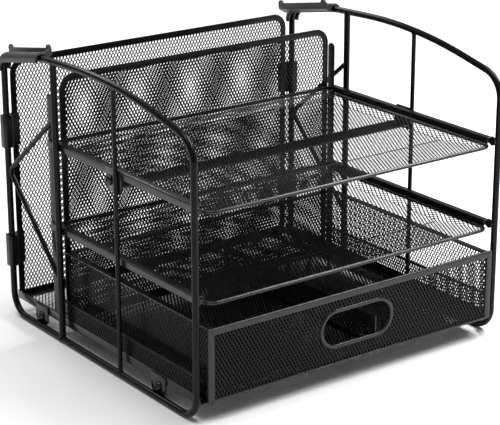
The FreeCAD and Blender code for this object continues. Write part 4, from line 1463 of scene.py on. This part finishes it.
    def box(self) -> None:
        """Builds the walls, the floor and the partition's sheet."""
        low = self.foot_top - self.wall_under
        tall = self.wall_top + self.wall_over - low
        front, rear = self.box_front_y, self.rear_y - self.rear_sunk
        length, reach = self.rear_y - front, self.wall_reach
        split_low, split_high = self.partition
        split_front = front + self.partition_inset
        sheets = [
            (f"drawer_{name}_wall", Place((side * reach, front, low), BACK, UP), length, tall)
            for name, side in SIDES
        ]
        sheets += [
            ("drawer_rear_wall", Place((-reach, rear, low), RIGHT, UP), 2 * reach, tall),
            (
                "drawer_floor",
                Place((self.tuck / 2 - reach, front, self.floor_height), RIGHT, BACK),
                2 * reach - self.tuck,
                length - self.tuck,
            ),
            (
                "drawer_partition_mesh",
                Place((self.partition_x, split_front, split_low - self.tuck), BACK, UP),
                length - self.partition_inset - self.partition_back,
                split_high - split_low + 2 * self.tuck,
            ),
        ]
        for name, place, wide, high in sheets:
            metal = self.floor_metal if name == "drawer_floor" else self.metal
            sheet = metal.sheet(f"{name}_lattice", wide, high, place.put)
            self.dresser.add(sheet, MESH_COAT, DRAWER_BODY, [name])


# ---------------------------------------------------------------- studio


def hang_lamp(data: bpy.types.Light, position: Triple, target: Triple) -> None:
    """Puts a light into the studio.

    Args:
        data: The light's own settings.
        position: Where it hangs, in metres.
        target: The point that it faces.
    """
    lamp = bpy.data.objects.new(data.name, data)
    lamp.location = position
    lamp.rotation_euler = (Vector(target) - Vector(position)).to_track_quat("-Z", "Y").to_euler()
    bpy.context.scene.collection.objects.link(lamp)


@dataclass(frozen=True)
class Softbox:
    """One soft area light: where it hangs and its sizes in metres, its power in watts."""

    name: str
    position: Triple
    width: float
    height: float
    power: float
    target: Triple = (0.0, 0.0, 0.12)

    def hang(self) -> None:
        """Makes the light, facing its target."""
        data = bpy.data.lights.new(self.name, "AREA")
        data.shape = "RECTANGLE"
        data.size, data.size_y, data.energy = self.width, self.height, self.power
        hang_lamp(data, self.position, self.target)


@dataclass
class Studio:
    """The pale floor, the soft lights and the camera at the photograph's angle.

    The camera's place is in metres, its angles in degrees and its lens in millimetres.
    """

    position: Triple = (-0.924625, -1.260247, 0.646858)
    yaw: float = -36.291
    pitch: float = -19.035
    roll: float = -0.084
    lens: float = 130.979
    sensor: float = 36.0
    clip: Pair = (0.05, 50.0)  # metres
    ambient: float = 0.28
    floor_size: float = 12.0
    floor_colour: str = "#fdfdfd"

    # The key light: a point in its direction, how wide it looks in degrees, and its power on a
    # facing surface in watts per square metre.
    key_source: Triple = (-0.2, 0.0, 2.0)
    key_spread: float = 40.0
    key_strength: float = 1.5

    # A strong box to the right, whose light runs along the lips, and a weak one behind.
    softboxes: tuple[Softbox, ...] = (
        Softbox("lip_softbox", (0.9, -0.3, 1.2), 1.3, 0.25, 24.0),
        Softbox("side_softbox", (0.0, 1.25, 1.15), 1.2, 0.2, 6.0),
    )

    def build(self) -> None:
        """Builds everything that is not part of the organizer."""
        self.camera()
        self.floor()
        self.surround()
        self.key_light()
        for box in self.softboxes:
            box.hang()
        bpy.context.scene.view_settings.view_transform = "Standard"

    def camera(self) -> None:
        """Makes the camera from the fitted place and angles."""
        yaw, pitch, roll = (math.radians(angle) for angle in (self.yaw, self.pitch, self.roll))
        level = math.cos(pitch)
        ahead = Vector((-math.sin(yaw) * level, math.cos(yaw) * level, math.sin(pitch)))
        right = Vector((math.cos(yaw), math.sin(yaw), 0.0))
        up = right.cross(ahead)
        turned_right = right * math.cos(roll) + up * math.sin(roll)
        turned_up = up * math.cos(roll) - right * math.sin(roll)
        data = bpy.data.cameras.new("photo_camera")
        data.lens = self.lens
        data.sensor_width = self.sensor
        data.clip_start, data.clip_end = self.clip
        camera = bpy.data.objects.new("photo_camera", data)
        bpy.context.scene.collection.objects.link(camera)
        turn = Matrix((turned_right, turned_up, -ahead)).transposed().to_4x4()
        camera.matrix_world = Matrix.Translation(self.position) @ turn
        bpy.context.scene.camera = camera

    def floor(self) -> None:
        """Makes the white studio paper that the organizer stands on."""
        half = self.floor_size / MM / 2
        floor = link_mesh(
            "studio_floor",
            np.array([(-half, -half, 0), (half, -half, 0), (half, half, 0), (-half, half, 0)]),
            [[0, 1, 2, 3]],
        )
        material = bpy.data.materials.new("matte_white_studio_paper")
        material.use_nodes = True
        shader = material.node_tree.nodes["Principled BSDF"]
        shader.inputs["Base Color"].default_value = linear(self.floor_colour)
        shader.inputs["Roughness"].default_value = 1.0
        shader.inputs["Specular IOR Level"].default_value = 0.0
        floor.data.materials.append(material)

    def surround(self) -> None:
        """Makes the even grey light of the studio's walls."""
        world = bpy.data.worlds.new("studio_surround")
        bpy.context.scene.world = world
        world.use_nodes = True
        tree = world.node_tree
        tree.nodes.clear()
        grey = {"Color": linear("#ffffff"), "Strength": self.ambient}
        light = add_node(tree, "Background", sockets=grey)
        add_node(tree, "OutputWorld", sockets={"Surface": light.outputs["Background"]})

    def key_light(self) -> None:
        """Makes the large distant light overhead, which lights the floor evenly."""
        data = bpy.data.lights.new("key_light", "SUN")
        data.angle, data.energy = math.radians(self.key_spread), self.key_strength
        hang_lamp(data, self.key_source, (0.0, 0.0, 0.0))


def main() -> None:
    """Builds the dressed organizer and its studio."""
    logging.basicConfig(level=logging.INFO, format="%(name)s: %(message)s")
    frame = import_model()
    dresser = Dresser(frame["nodes"])
    metal = ExpandedMetal()
    floor_metal = ExpandedMetal(open_short=0.6, open_long=0.62)
    Studio().build()
    SideFrames(dresser).dress()
    for name, side in SIDES:
        FileRail(dresser, name, side).dress()
    UprightPanels(dresser, metal).dress()
    LetterTrays(dresser, metal).dress()
    BaseTray(dresser, metal, floor_metal).dress()
    Drawer(dresser, metal, floor_metal).dress()


if __name__ == "__main__":
    main()
